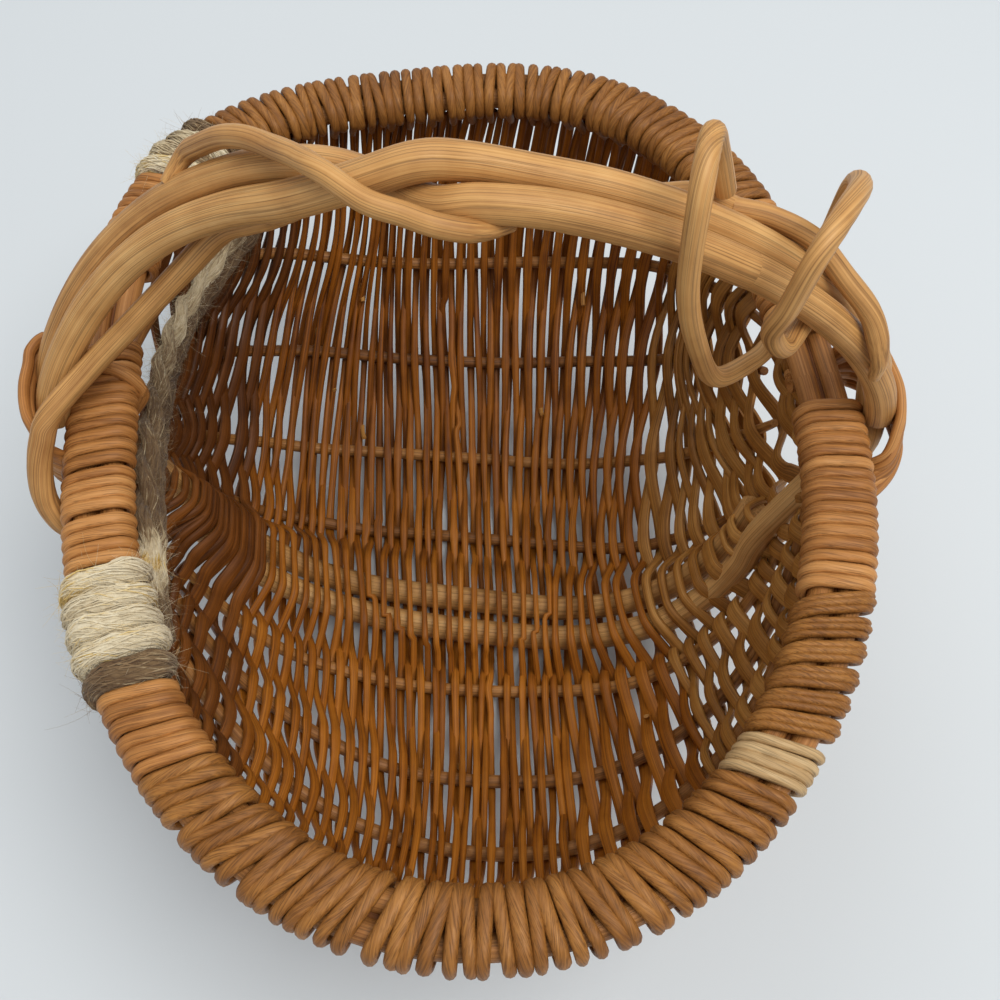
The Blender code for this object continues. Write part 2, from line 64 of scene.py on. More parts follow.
def signed_power(value, power):
    """The size of the value to that power, with the value's own sign."""
    return np.sign(value) * np.abs(value) ** power


def side_power(right, angle):
    """The oval's power at this angle, of the right or the left half."""
    degrees = np.degrees(angle)
    return np.where(right, np.interp(degrees, POWER_DEGREES, RIGHT_POWERS), np.interp(degrees, POWER_DEGREES, LEFT_POWERS))


def axis_place(x):
    """How far back the line between the two ears lies at this place across the basket."""
    return SHIFT - SKEW * x


def wall_middle(turn, angle):
    """x = half width * cos(turn)^(2/p); from the ear line, y reaches out by cos(angle)^(2/q) and z
    down by sin(angle)^(2/q), both times sin(turn)^(2/p)."""
    turn, angle = np.broadcast_arrays(np.asarray(turn, float), np.asarray(angle, float))
    power = side_power(np.cos(turn) > 0, angle)
    size = np.abs(np.sin(turn)) ** (2 / power)
    x = RIM_HALF_WIDTH * signed_power(np.cos(turn), 2 / power)
    length = np.where(np.cos(angle) > 0, RIM_BACK, -RIM_FRONT)
    reach = LENGTH_CENTRE + length * size - axis_place(x)
    y = axis_place(x) + reach * np.abs(np.cos(angle)) ** (2 / SECTION_POWER)
    z = RIM_HEIGHT - BOWL_DEPTH * size * np.abs(np.sin(angle)) ** (2 / SECTION_POWER)
    return np.stack([x, y, np.maximum(z, WALL / 2)], -1)


def wall_inward(turn, angle):
    """Unit normal of the wall towards the inside: the cross product of its two slopes."""
    step = 1e-3
    along = wall_middle(turn + step, angle) - wall_middle(turn - step, angle)
    round_ = wall_middle(turn, angle + step) - wall_middle(turn, angle - step)
    normal = np.cross(along, round_)
    normal /= np.linalg.norm(normal, axis=-1, keepdims=True)
    outward = wall_middle(turn, angle) - (0, LENGTH_CENTRE, RIM_HEIGHT)
    return -normal * np.sign(np.sum(normal * outward, axis=-1, keepdims=True))


def rim_point(turn):
    """The rim's centre line: a superellipse with its own power in each quarter."""
    c, s = np.cos(turn), np.sin(turn)
    back, front = np.where(c > 0, RIGHT_POWERS[0], LEFT_POWERS[0]), np.where(c > 0, RIGHT_POWERS[-1], LEFT_POWERS[-1])
    power = np.where(s > 0, back, front)
    x = RIM_HALF_WIDTH * signed_power(c, 2 / power)
    y = LENGTH_CENTRE + np.where(s > 0, RIM_BACK, RIM_FRONT) * signed_power(s, 2 / power)
    return np.stack([x, y, np.full_like(x, RIM_HEIGHT)], -1)


def rim_frame(turn):
    """Centre line points, the way ahead, and the way out of the oval."""
    ahead = rim_point(turn + 1e-4) - rim_point(turn - 1e-4)
    ahead /= np.linalg.norm(ahead, axis=-1, keepdims=True)
    return rim_point(turn), ahead, np.cross(ahead, UP)


rim_turns = np.radians(np.linspace(0, 360, 7201))
rim_run = np.concatenate([[0], np.cumsum(np.linalg.norm(np.diff(rim_point(rim_turns), axis=0), axis=1))])
print("rim length, mm:", round(1000 * rim_run[-1]))

# %% [markdown]
# ## One way to make every strand
# A strand of cane is an oval section carried along a path. Many strands of one kind are made in one
# call: the paths form one array (strands, places, 3), and the section turns it into rings. Each
# point also keeps two notes for the material: `grain`, which is the distance along the strand and
# the place round it, so that fibres can run lengthwise, and `tone`, the strand's own shade, which on
# the woven rows also carries painted shade that darkens them towards the back rim.

# %% Strand maker
shade = np.random.default_rng(11)


def unit(vectors):
    return vectors / np.maximum(np.linalg.norm(vectors, axis=-1, keepdims=True), 1e-12)


def catmull(points, per=8):
    """Smooth curves through given points: a cubic between each two, whose slope at a point is
    half the step between its neighbours. points is (strands, places, columns)."""
    first, last = 2 * points[:, :1] - points[:, 1:2], 2 * points[:, -1:] - points[:, -2:-1]
    p = np.concatenate([first, points, last], axis=1)[:, :, None]
    t = np.linspace(0, 1, per, endpoint=False)[:, None]
    a, b, c, d = p[:, :-3], p[:, 1:-2], p[:, 2:-1], p[:, 3:]
    cubic = (-a + 3 * b - 3 * c + d) * t**3 + (2 * a - 5 * b + 4 * c - d) * t**2 + (c - a) * t + 2 * b
    cubic = (cubic / 2).reshape(len(points), -1, points.shape[-1])
    return np.concatenate([cubic, points[:, -1:]], axis=1)


def evenly(points, count):
    """The same curves cut into equal steps. Columns past the third are carried with them."""
    step = np.linalg.norm(np.diff(points[..., :3], axis=1), axis=-1)
    run = np.concatenate([np.zeros((len(points), 1)), np.cumsum(step, axis=1)], axis=1)
    made = [[np.interp(np.linspace(0, r[-1], count), r, column) for column in p.T]
            for r, p in zip(run, points)]
    return np.moveaxis(np.array(made), 1, 2)


def sweep(name, path, side, wide, thick, finish, tone=None, sides=8, square=2.0, slant=0.0, body="root"):
    """Rings of points path + side*wide*cos(a)^(2/q) + normal*thick*sin(a)^(2/q), joined into tubes
    with flat ends. wide and thick are half sizes, per strand or per place. The grain runs along the
    strand, or aslant by this much sideways for each step along."""
    count, places = path.shape[:2]
    ahead = unit(np.gradient(path, axis=1))
    across = unit(side - np.sum(side * ahead, -1, keepdims=True) * ahead)
    normal = np.cross(ahead, across)
    wide, thick = (np.broadcast_to(np.asarray(v, float), (count, places)) for v in (wide, thick))
    a = np.linspace(0, 2 * math.pi, sides, endpoint=False) + math.pi / sides
    c, s = signed_power(np.cos(a), 2 / square), signed_power(np.sin(a), 2 / square)
    flat, tall = wide[..., None] * c, thick[..., None] * s
    rings = path[:, :, None] + flat[..., None] * across[:, :, None] + tall[..., None] * normal[:, :, None]
    run = np.concatenate([np.zeros((count, 1)), np.cumsum(np.linalg.norm(np.diff(path, axis=1), axis=-1), axis=1)], axis=1)
    run = np.broadcast_to((run + 7 * shade.random((count, 1)))[..., None], flat.shape)
    grain = np.stack([run, flat + slant * run, tall], -1)
    tone = shade.random((count, 1)) if tone is None else np.asarray(tone, float)
    tone = np.broadcast_to(np.broadcast_to(tone, (count, places))[..., None], flat.shape)
    index = np.arange(count * places * sides).reshape(count, places, sides)
    here, after = index, np.roll(index, -1, axis=2)
    quads = np.stack([here[:, :-1], after[:, :-1], after[:, 1:], here[:, 1:]], -1).reshape(-1, 4)
    caps = np.concatenate([index[:, 0, ::-1], index[:, -1]])
    return add_piece(name, rings.reshape(-1, 3), quads.tolist() + caps.tolist(), finish,
                     {"grain": grain.reshape(-1, 3), "tone": tone.reshape(-1)}, body)


def add_piece(name, points, faces, finish, notes=None, body="root"):
    """A mesh at the origin with its notes as point attributes, riding on the basket."""
    mesh = bpy.data.meshes.new(name)
    mesh.from_pydata(points.tolist(), [], faces)
    for note, values in (notes or {}).items():
        kind = "FLOAT_VECTOR" if values.ndim == 2 else "FLOAT"
        layer = mesh.attributes.new(note, kind, "POINT")
        layer.data.foreach_set("vector" if values.ndim == 2 else "value", values.astype(np.float32).ravel())
    mesh.shade_smooth()
    mesh.set_sharp_from_angle(angle=math.radians(60))
    mesh.materials.append(finish)
    piece = bpy.data.objects.new(name, mesh)
    bpy.context.scene.collection.objects.link(piece)
    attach(piece, body)
    print(f"{name}: {len(points)} points")
    return piece


# %% [markdown]
# ## Cane finishes
# Cane has fine fibres along its length, each strand has its own shade, and age and handling leave
# darker blotches. The material reads the `grain` note, stretched so that noise becomes lengthwise
# lines, and mixes a pale and a dark colour. A finer set of lines gives the relief and darkens the
# colour in its creases, partly as fibre grain and partly as painted shade, and the first set makes
# the gloss uneven.


# %% Cane material
def from_screen(red, green, blue):
    """A colour as a screen shows it, 0 to 255, turned into the light that the shader wants."""
    value = np.array([red, green, blue]) / 255
    return (*np.where(value <= 0.04045, value / 12.92, ((value + 0.055) / 1.055) ** 2.4), 1.0)


def cane(name, pale, middle, dark, rough=0.5, fibres=1500.0, relief=0.35):
    finish = bpy.data.materials.new(name)
    finish.use_nodes = True
    nodes, links = finish.node_tree.nodes, finish.node_tree.links
    shader = nodes["Principled BSDF"]
    grain, tone = nodes.new("ShaderNodeAttribute"), nodes.new("ShaderNodeAttribute")
    grain.attribute_name, tone.attribute_name = "grain", "tone"
    stretch = nodes.new("ShaderNodeMapping")
    stretch.inputs["Scale"].default_value = (14.0, fibres, fibres)
    links.new(grain.outputs["Vector"], stretch.inputs["Vector"])
    lines = nodes.new("ShaderNodeTexNoise")
    lines.inputs["Scale"].default_value = 1.0
    lines.inputs["Detail"].default_value = 3.0
    links.new(stretch.outputs["Vector"], lines.inputs["Vector"])
    finer = nodes.new("ShaderNodeMapping")
    finer.inputs["Scale"].default_value = (9.0, 2.2 * fibres, 2.2 * fibres)
    links.new(grain.outputs["Vector"], finer.inputs["Vector"])
    crease = nodes.new("ShaderNodeTexNoise")
    crease.inputs["Scale"].default_value = 1.0
    crease.inputs["Detail"].default_value = 2.0
    links.new(finer.outputs["Vector"], crease.inputs["Vector"])
    # The crease lines give the relief and also darken the base colour in its valleys: partly fibre grain, partly
    # painted shade in the creases.
    crease_depth_and_painted_shade = nodes.new("ShaderNodeMapRange")
    for name_, value in (("From Min", 0.34), ("From Max", 0.50), ("To Min", 0.58), ("To Max", 1.0)):
        crease_depth_and_painted_shade.inputs[name_].default_value = value
    links.new(crease.outputs["Fac"], crease_depth_and_painted_shade.inputs["Value"])
    place = nodes.new("ShaderNodeTexCoord")
    blotch = nodes.new("ShaderNodeTexNoise")
    blotch.inputs["Scale"].default_value = 75.0
    blotch.inputs["Detail"].default_value = 4.0
    links.new(place.outputs["Object"], blotch.inputs["Vector"])
    total = nodes.new("ShaderNodeMath")
    total.operation = "MULTIPLY_ADD"
    total.inputs[1].default_value = 0.42
    links.new(tone.outputs["Fac"], total.inputs[0])
    mixed = nodes.new("ShaderNodeMath")
    mixed.operation = "MULTIPLY_ADD"
    mixed.inputs[1].default_value = 0.75
    links.new(lines.outputs["Fac"], mixed.inputs[0])
    spots = nodes.new("ShaderNodeMath")
    spots.operation = "MULTIPLY_ADD"
    spots.inputs[1].default_value = 0.5
    spots.inputs[2].default_value = -0.34
    links.new(blotch.outputs["Fac"], spots.inputs[0])
    links.new(spots.outputs[0], mixed.inputs[2])
    links.new(mixed.outputs[0], total.inputs[2])
    ramp = nodes.new("ShaderNodeValToRGB")
    ramp.color_ramp.elements[0].position, ramp.color_ramp.elements[1].position = 0.10, 0.92
    ramp.color_ramp.elements[0].color, ramp.color_ramp.elements[1].color = dark, pale
    ramp.color_ramp.elements.new(0.5).color = middle
    links.new(total.outputs[0], ramp.inputs["Fac"])
    colour_with_painted_crease_shade = nodes.new("ShaderNodeVectorMath")
    colour_with_painted_crease_shade.operation = "SCALE"
    links.new(ramp.outputs["Color"], colour_with_painted_crease_shade.inputs[0])
    links.new(crease_depth_and_painted_shade.outputs["Result"], colour_with_painted_crease_shade.inputs["Scale"])
    links.new(colour_with_painted_crease_shade.outputs["Vector"], shader.inputs["Base Color"])
    gloss = nodes.new("ShaderNodeMapRange")
    gloss.inputs["To Min"].default_value, gloss.inputs["To Max"].default_value = rough + 0.12, rough - 0.1
    links.new(lines.outputs["Fac"], gloss.inputs["Value"])
    links.new(gloss.outputs["Result"], shader.inputs["Roughness"])
    bump = nodes.new("ShaderNodeBump")
    bump.inputs["Strength"].default_value = relief
    bump.inputs["Distance"].default_value = 0.0006
    links.new(crease_depth_and_painted_shade.outputs["Result"], bump.inputs["Height"])
    links.new(bump.outputs["Normal"], shader.inputs["Normal"])
    shader.inputs["Specular IOR Level"].default_value = 0.30
    return finish


handle_cane = cane("peeled_handle_cane", from_screen(222, 178, 116), from_screen(196, 146, 86),
                   from_screen(138, 88, 42), rough=0.48, fibres=1250.0)
rim_cane = cane("rim_reed", from_screen(204, 148, 88), from_screen(178, 120, 62), from_screen(118, 68, 26))
turn_cane = cane("rim_turn_reed", from_screen(180, 124, 60), from_screen(138, 88, 36), from_screen(78, 40, 10))
pale_cane = cane("fresh_reed", from_screen(206, 176, 130), from_screen(180, 146, 100), from_screen(134, 98, 58))
weave_cane = cane("woven_reed", from_screen(194, 122, 38), from_screen(152, 88, 18), from_screen(72, 28, 3))
old_cane = cane("smoked_reed", from_screen(148, 88, 32), from_screen(108, 60, 16), from_screen(56, 25, 5))
raw_cane = cane("raw_reed", from_screen(206, 154, 84), from_screen(166, 112, 48), from_screen(98, 56, 18))
rib_cane = cane("rib_cane", from_screen(184, 130, 70), from_screen(150, 98, 46), from_screen(92, 50, 20))

# %% [markdown]
# ## Ribs
# Eight ribs of 5.5 mm cane run from ear to ear and thin towards their ends. Each is a round tube
# along a line on the wall, a little inside its middle, where the rows pass over and under it.
# Towards the right ear every rib drifts forward, and towards both ears the back ribs rise.

# %% Ribs
RIB_HALF, RIB_INWARD = 0.00270, 0.0012
BACK_RIBS, FRONT_RIBS, KEEL = (30.2, 50.2, 69.8, 84.5), (106.5, 123.2, 139.1, 154.0), 95.5
RIB_DRIFT, RIB_RISE = 5.4, 0.105


def bottom_lift(place):
    """Near the flat bottom everything moves in by up to 1.3 mm, so that nothing sinks below it."""
    return 0.0013 * np.clip((0.018 - place[..., 2:]) / 0.012, 0, 1)


def on_wall(turn, angle, inward):
    """A point this far inside the wall's middle, lifted a little at the flat bottom."""
    middle = wall_middle(turn, angle)
    return middle + wall_inward(turn, angle) * (np.asarray(inward)[..., None] + bottom_lift(middle))


def rib_angle(turn, degrees):
    """A rib's angle at each turn: its own, with the drift and the rise by its place across."""
    across = wall_middle(turn, math.radians(degrees))[..., 0] / RIM_HALF_WIDTH
    return np.radians(degrees + RIB_DRIFT * across - RIB_RISE * max(KEEL - degrees, 0) * across**2)


for stem, angles in (("rib_back", BACK_RIBS), ("rib_front", FRONT_RIBS[::-1])):
    for number, angle in enumerate(angles, 1):
        end = 23 if number == 4 else 12
        turn = np.radians(np.linspace(180 - end, end, 160))[None]
        wander = 0.005 * np.sin(5 * turn + number) + 0.003 * np.sin(11 * turn + 2 * number)
        path = evenly(on_wall(turn, rib_angle(turn, angle) + wander, RIB_INWARD), 110)
        share = np.linspace(-1, 1, 110)[None]
        half = RIB_HALF * (1 - 0.35 * share**6)
        rib = sweep(f"{stem}_{number}_cane", path, np.broadcast_to(UP, path.shape) + 0.01, half, half, rib_cane, sides=10)
        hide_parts(f"{stem}_{number}")

# %% [markdown]
# ## Woven rows
# A hundred rows of reed run from the back rim to the front rim, each over one rib and under the next,
# and the next row the other way round. They fan: at the back rim the rows crowd towards the middle,
# and from there they spread to the ears and curve over the keel. Twelve guide rows were read off
# the photo as the place across (mm) at ten angles round the trough, and the rest lie between them.

# %% Places of the rows
GUIDE_DEGREES = (1, 20, 40, 60, 80, 95, 110, 130, 150, 179)
GUIDES = {
    -2.8: (124.85, 124.92, 124.92, 124.92, 124.92, 124.92, 124.9, 124.9, 124.8, 124.7),
    -2.1: (124.6, 124.8, 124.82, 124.84, 124.84, 124.84, 124.8, 124.7, 124.4, 124.1),
    -1.4: (124.2, 124.6, 124.66, 124.7, 124.7, 124.7, 124.6, 124.4, 123.9, 123.2),
    -0.7: (123.7, 124.25, 124.42, 124.5, 124.5, 124.5, 124.3, 124.0, 123.3, 122.0),
    0: (123.0, 123.8, 124.1, 124.3, 124.3, 124.2, 124.0, 123.5, 122.5, 120.5),
    6: (117.5, 115.5, 112.0, 110.0, 112.0, 113.0, 112.0, 109.0, 105.0, 100.0),
    11: (111.5, 109.5, 106.5, 102.0, 96.0, 91.0, 90.5, 88.0, 83.0, 74.0),
    14.3: (106.0, 102.5, 97.0, 88.5, 77.0, 73.5, 76.0, 76.0, 73.0, 66.0),
    22.3: (73.0, 66.5, 59.0, 52.0, 43.0, 36.5, 31.5, 27.0, 22.0, 21.0),
    31.3: (31.0, 21.0, 15.5, 11.0, 5.0, 0.5, -4.5, -10.5, -14.5, -19.0),
    40.8: (-6.0, -17.0, -25.0, -30.0, -35.0, -38.5, -41.0, -42.0, -44.5, -50.0),
    48.6: (-27.0, -35.0, -51.0, -63.0, -71.0, -73.0, -73.0, -70.5, -69.0, -71.0),
    56.3: (-51.0, -62.0, -82.0, -94.0, -99.5, -102.0, -100.0, -96.0, -92.0, -88.0),
    60.8: (-66.0, -79.0, -104.0, -113.0, -116.5, -117.0, -115.5, -111.0, -106.0, -99.0),
    64.3: (-80.0, -94.0, -116.0, -120.0, -121.3, -121.6, -120.5, -117.5, -113.0, -105.0),
    69.3: (-106.0, -118.0, -123.6, -124.4, -124.6, -124.6, -124.3, -123.5, -121.0, -119.0)}
row_number = np.arange(104)
luck = np.random.default_rng(5)
spread = (row_number - 4) * 0.7
places = np.array([np.interp(spread, list(GUIDES), column) for column in zip(*GUIDES.values())]).T
places = np.clip(places + luck.normal(0, 0.3, (104, 1)) * (spread[:, None] > 0), -124.7, 124.95)
guide = np.stack([np.broadcast_to(np.radians(GUIDE_DEGREES), places.shape), places / 1000], -1)
guide = catmull(guide, 24)
row_angle, row_x = guide[..., 0], guide[..., 1]
power = side_power(row_x > 0, row_angle)
row_turn = np.arccos(np.clip(signed_power(row_x / RIM_HALF_WIDTH, power / 2), -1, 1))
row_side = np.where(row_number % 2, 1.0, -1.0)
wall_line = wall_middle(row_turn, row_angle)
pitch = np.linalg.norm(np.gradient(wall_line, axis=0), axis=-1)
print("rows:", len(row_turn), "pitch at the keel, mm:", np.round(1000 * pitch[::10, 110], 1))

# %% [markdown]
# A row's distance from the wall's middle swings between the inner side and the outer side. At each
# rib it is set to half a rib plus half a reed, at the keel it climbs over both thick rods or passes
# under them, and between these places it follows a smooth step. Its width follows the room that
# its neighbours leave, so that rows are broad at the right and narrow at the rim.

# %% Rows over and under the ribs
RIM_DROP, PLACES = 0.0075, 180
RIBS = (*BACK_RIBS, KEEL - 3.7, KEEL + 3.7, *FRONT_RIBS)


def row_path(number):
    """One row as columns: place, way inward, half width, half thickness, angle."""
    turn, angle, x = row_turn[number], row_angle[number], row_x[number]
    middle, side = wall_line[number], row_side[number]
    run = np.cumsum(np.linalg.norm(np.diff(middle, axis=0, prepend=middle[:1]), axis=1))
    low = RIM_HEIGHT - middle[:, 2]
    deepest = int(np.argmax(low))
    start = np.interp(RIM_DROP, low[:deepest], run[:deepest])
    end = np.interp(-RIM_DROP, -low[deepest:], run[deepest:])
    room = pitch[number]
    thick = np.clip(0.38 * room.mean(), 0.0011, 0.00140)
    at = []
    for degrees in RIBS:
        knot = math.radians(degrees)
        for _ in range(4):
            across = np.interp(knot, angle, x) / RIM_HALF_WIDTH
            knot = math.radians(degrees + RIB_DRIFT * across - RIB_RISE * max(KEEL - degrees, 0) * across**2)
        at.append(np.interp(knot, angle, run))
    depth = np.clip(low.max() / 0.045, 0.25, 1)
    swing = depth * (RIB_HALF + thick + 0.0001)
    signs = side * np.array([-1, 1, -1, 1, -1, -1, 1, -1, 1, -1.0])
    level = RIB_INWARD + signs * swing
    over_keel = WALL / 2 + 0.0010 + 0.011 + thick + 0.0006
    ear_side = np.clip((low.max() - 0.050) / 0.025, 0, 1)
    level[4:6] = np.where(side < 0 or number >= 86, over_keel * ear_side + 0.0022 * (1 - ear_side), min(-0.0004, RIB_INWARD - swing))
    free = 0.014
    knots = np.concatenate([[start, start + free], at, [end - free, end]])
    levels = np.concatenate([[0.0030 * side, 0.0012 * side], level, [0.0012 * side, 0.0030 * side]])
    order = np.maximum.accumulate(knots + 1e-6 * np.arange(len(knots)))
    s = np.linspace(start, end, 400)
    spot = np.interp(s, order, np.arange(len(order)))
    base = np.clip(np.floor(spot).astype(int), 0, len(order) - 2)
    share = spot - base
    share = share * share * (3 - 2 * share)
    off = levels[base] + (levels[base + 1] - levels[base]) * share
    if number < 28 or number >= 84:
        reach = 2 * round(0.0055 / (s[1] - s[0])) + 1
        off = np.convolve(np.pad(off, reach // 2, mode="edge"), np.hanning(reach + 2)[1:-1] * 2 / (reach + 1), "valid")
    bow = np.exp(-(((s[:, None] - np.delete(at, (4, 5))) / 0.007) ** 2)).max(axis=1)
    bow = bow - 1.1 * np.exp(-(((s - (at[4] + at[5]) / 2) / 0.013) ** 4))
    here, around = np.interp(s, run, angle), np.interp(s, run, turn)
    phase = luck.uniform(0, 2 * math.pi, 3)
    drift = 0.00045 * np.sin(s / 0.021 + phase[0]) + 0.0005 * np.sin(s / 0.047 + phase[1]) + 0.0006 * np.sin(s / 0.11 + phase[2])
    speed = np.linalg.norm(wall_middle(around + 1e-3, here) - wall_middle(around - 1e-3, here), axis=1) / 2e-3
    window = np.clip(np.minimum(s - start, end - s) / 0.02, 0, 1)
    around = np.clip(around + drift * window / np.maximum(speed, 0.03), 0.02, math.pi - 0.02)
    wide = np.clip(0.5 * np.interp(s, run, room) * (1.08 + 0.20 * bow), 0.0012, 0.0042) * luck.uniform(0.94, 1.06)
    return np.column_stack([on_wall(around, here, off), wall_inward(around, here), wide, np.full(400, thick), here])


rows = evenly(np.array([row_path(number) for number in row_number]), PLACES)
rows[..., 2] = np.maximum(rows[..., 2], rows[..., 7] + 0.0002)
row_luck = luck.uniform(-0.32, 0.32, (len(rows), 1))
# Painted shade: the rows get darker towards the back rim, where the rim shades the back wall, and lighter towards the
# front; row_luck is each row's own tone.
painted_light_to_front = np.clip((rows[..., 8] - math.radians(42)) / math.radians(44), 0, 1)
row_tone_and_painted_shade = np.clip(0.20 + 0.42 * painted_light_to_front + row_luck * (0.5 + 0.5 * painted_light_to_front), 0, 1)
ZONES = (("right", 0, 24, raw_cane, 2.5), ("middle_1", 24, 58, weave_cane, 2.1), ("middle_2", 58, 86, weave_cane, 2.1),
         ("left", 86, 104, old_cane, 2.2))
panels = [f"woven_{side}_{n}" for side in ("back", "front") for n in (1, 2, 3, 4)] + ["woven_bottom"]
for title, start, end, finish, flat in ZONES:
    part = rows[start:end]
    ahead = unit(np.gradient(part[..., :3], axis=1))
    weave = sweep(f"weave_{title}", part[..., :3], np.cross(part[..., 3:6], ahead), part[..., 6], part[..., 7], finish,
                  tone=row_tone_and_painted_shade[start:end], sides=8, square=flat)
    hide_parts(*panels)

# %% [markdown]
# Where a reed ran out, the weaver laid a new one beside it, and short cut ends stand off the inside
# next to the ribs. They are pale, because the cuts are fresh.

# %% Cut ends inside
STUBS = ((30, 37, 6), (67, 33, 7), (74, 41, 5), (70, 52, 6), (64, 62, 7), (36, 60, 6), (83, 60, 7), (49, 118, 6), (17, 66, 8),
         (40, 44, 5), (79, 118, 6), (24, 118, 7))
stubs = []
for number, degrees, length in STUBS:
    number += 4
    spot = np.argmin(np.abs(rows[number, :, 8] - math.radians(degrees)))
    ahead = unit(rows[number, spot + 1, :3] - rows[number, spot - 1, :3])
    inward, beside = rows[number, spot, 3:6], np.cross(rows[number, spot, 3:6], ahead)
    t = np.linspace(0, 1, 9)[:, None]
    root = rows[number, spot, :3] + inward * 0.0004 + beside * 0.0012
    stubs.append(root + length / 1000 * (t * ahead + 0.22 * beside * t**2) + inward * 0.0042 * t**1.5)
stubs = np.array(stubs)
cut = sweep("cut_ends", stubs, np.broadcast_to(np.array([1.0, 0.1, 0.2]), stubs.shape), 0.0011, 0.0007, raw_cane, tone=[[0.8]], sides=8, square=2.5)

# %% [markdown]
# ## Rim rods and the reed over the rim
# Two rods lie side by side under the binding and show in its few gaps. The reed goes over the rim
# turn by turn: each comes up on one side, crosses the top and tucks in under the other side. The
# turn is a path round the outline of the two rods, and `slant` moves its outer side along the rim.

# %% Rim rods
ROD_HALF, ROD_APART = 0.0040, 0.0044
turn = np.radians(np.linspace(0, 360, 241))[None]
centre, ahead, outward = rim_frame(turn)
for name, sign in (("outer", 1), ("inner", -1)):
    rod = sweep(f"rim_rod_{name}_cane", centre + sign * ROD_APART * outward, np.broadcast_to(UP, centre.shape),
                ROD_HALF, ROD_HALF, rim_cane, tone=[[0.35]], sides=10)
    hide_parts(f"rim_rod_{name}")

core = sweep("rim_core", centre - 0.0012 * UP, np.broadcast_to(outward, centre.shape), 0.0030, 0.0022, old_cane, sides=8)

# %% Reed over the rim
TURN_HALF = 0.0019


def round_rods(phase, thick):
    """Outline of a turn round both rods: a flat run over each rod's middle and a half circle
    round each outer side, as (outward, up). phase 0 points outward, a quarter turn up."""
    radius = ROD_HALF + 0.0003 + thick
    return ROD_APART * np.clip(3 * np.cos(phase), -1, 1) + radius * np.cos(phase), radius * np.sin(phase)


def rim_slant(degrees):
    """How far a turn's outer side is shifted along the rim, read off the photo: mm to metres."""
    places = [0, 25, 60, 90, 121, 150, 180, 215, 235, 250, 266, 280, 300, 330, 360]
    shifts = [-1.0, -2.0, -1.0, 0.3, 2.2, 1.5, 1.0, -3.6, -4.0, -3.6, 0.0, 2.6, 3.4, 1.0, -1.0]
    return np.interp(np.asarray(degrees) % 360, places, shifts) / 1000


def along_rim(turn, shift):
    """The turn that lies this far along the rim."""
    return np.interp(np.interp(turn, rim_turns, rim_run) + shift, rim_run, rim_turns)


def over_rim(turn, side, slant, half):
    """One turn over the rim, from a place on the wall to its tucked end. side is 1 where it comes
    up on the inner side."""
    phase = np.radians(np.linspace(205, -75, 15))
    out, up = round_rods(phase, TURN_HALF)
    out, up = np.append(out, 0.0035) * side, np.append(up, -ROD_HALF - 0.0015)
    where = along_rim(turn, slant * out / 0.0100)
    centre, ahead, outward = rim_frame(where)
    path = centre + out[:, None] * outward + up[:, None] * UP
    back = math.sin(turn) > 0
    trial = np.radians(np.linspace(2, 50, 200))
    trial = trial if back else math.pi - trial
    foot = where[0] if back else 2 * math.pi - where[0]
    angle = trial[np.argmax(wall_middle(foot, trial)[:, 2] < RIM_HEIGHT - 0.0135)]
    start = on_wall(np.array([foot]), np.array([angle]), np.array([0.0016 * side]))
    width = np.append(half * 0.75, np.interp(np.arange(len(path)), [0, 3, 12, 15], [0.85 * half, half, half, 0.8 * half]))
    return np.column_stack([np.concatenate([start, path]), np.concatenate([ahead[:1], ahead]), width])


RUNS = (("rim_binding_back_right", 24.0, 90.0, 4.3), ("rim_binding_back", 90.0, 121.2, 4.25),
        ("rim_binding_front_left", 221.0, 251.4, 4.25), ("rim_binding_front_left", 252.8, 270.0, 4.25),
        ("rim_binding_front_right", 270.0, 304.6, 4.3))
for part_number, (name, start, end, step) in enumerate(RUNS, 1):
    ends = np.interp(np.radians([start, end]), rim_turns, rim_run)
    count = round((ends[1] - ends[0]) / step * 1000)
    spots = ends[0] + (np.arange(count) + 0.5) * (ends[1] - ends[0]) / count + luck.normal(0, 0.00025, count)
    pairing = np.interp(spots, np.interp(np.radians([268, 284, 400]), rim_turns, rim_run), [0, 1, 1])
    spots = spots + pairing * np.where(np.arange(count) % 2, -0.00045, 0.00045)
    paths = []
    for number, spot in enumerate(spots):
        where = float(np.interp(spot, rim_run, rim_turns))
        half = 0.5 * (ends[1] - ends[0]) / count * luck.uniform(0.90, 1.12)
        paths.append(over_rim(where, 1 if number % 2 else -1, rim_slant(math.degrees(where)) + luck.normal(0, 0.0007), half))
    paths = evenly(catmull(np.array(paths), 4), 54)
    tone = luck.uniform(0.38, 0.82, (count, 1))
    piece = sweep(f"{name}_reed_{part_number}", paths[..., :3], paths[..., 3:6], paths[..., 6], TURN_HALF, turn_cane,
                  tone=tone, sides=10, square=2.0, slant=0.30)
    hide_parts(name)

# %% [markdown]
# ## Bound stretches of the rim
# Near the ears and along the left side the reed is wound round the rim on its own. It is one long
# helix: the place along the rim grows with the turn, and the place round the rods follows the same
# outline. A new width and shade for each turn keeps it from looking like a spring.


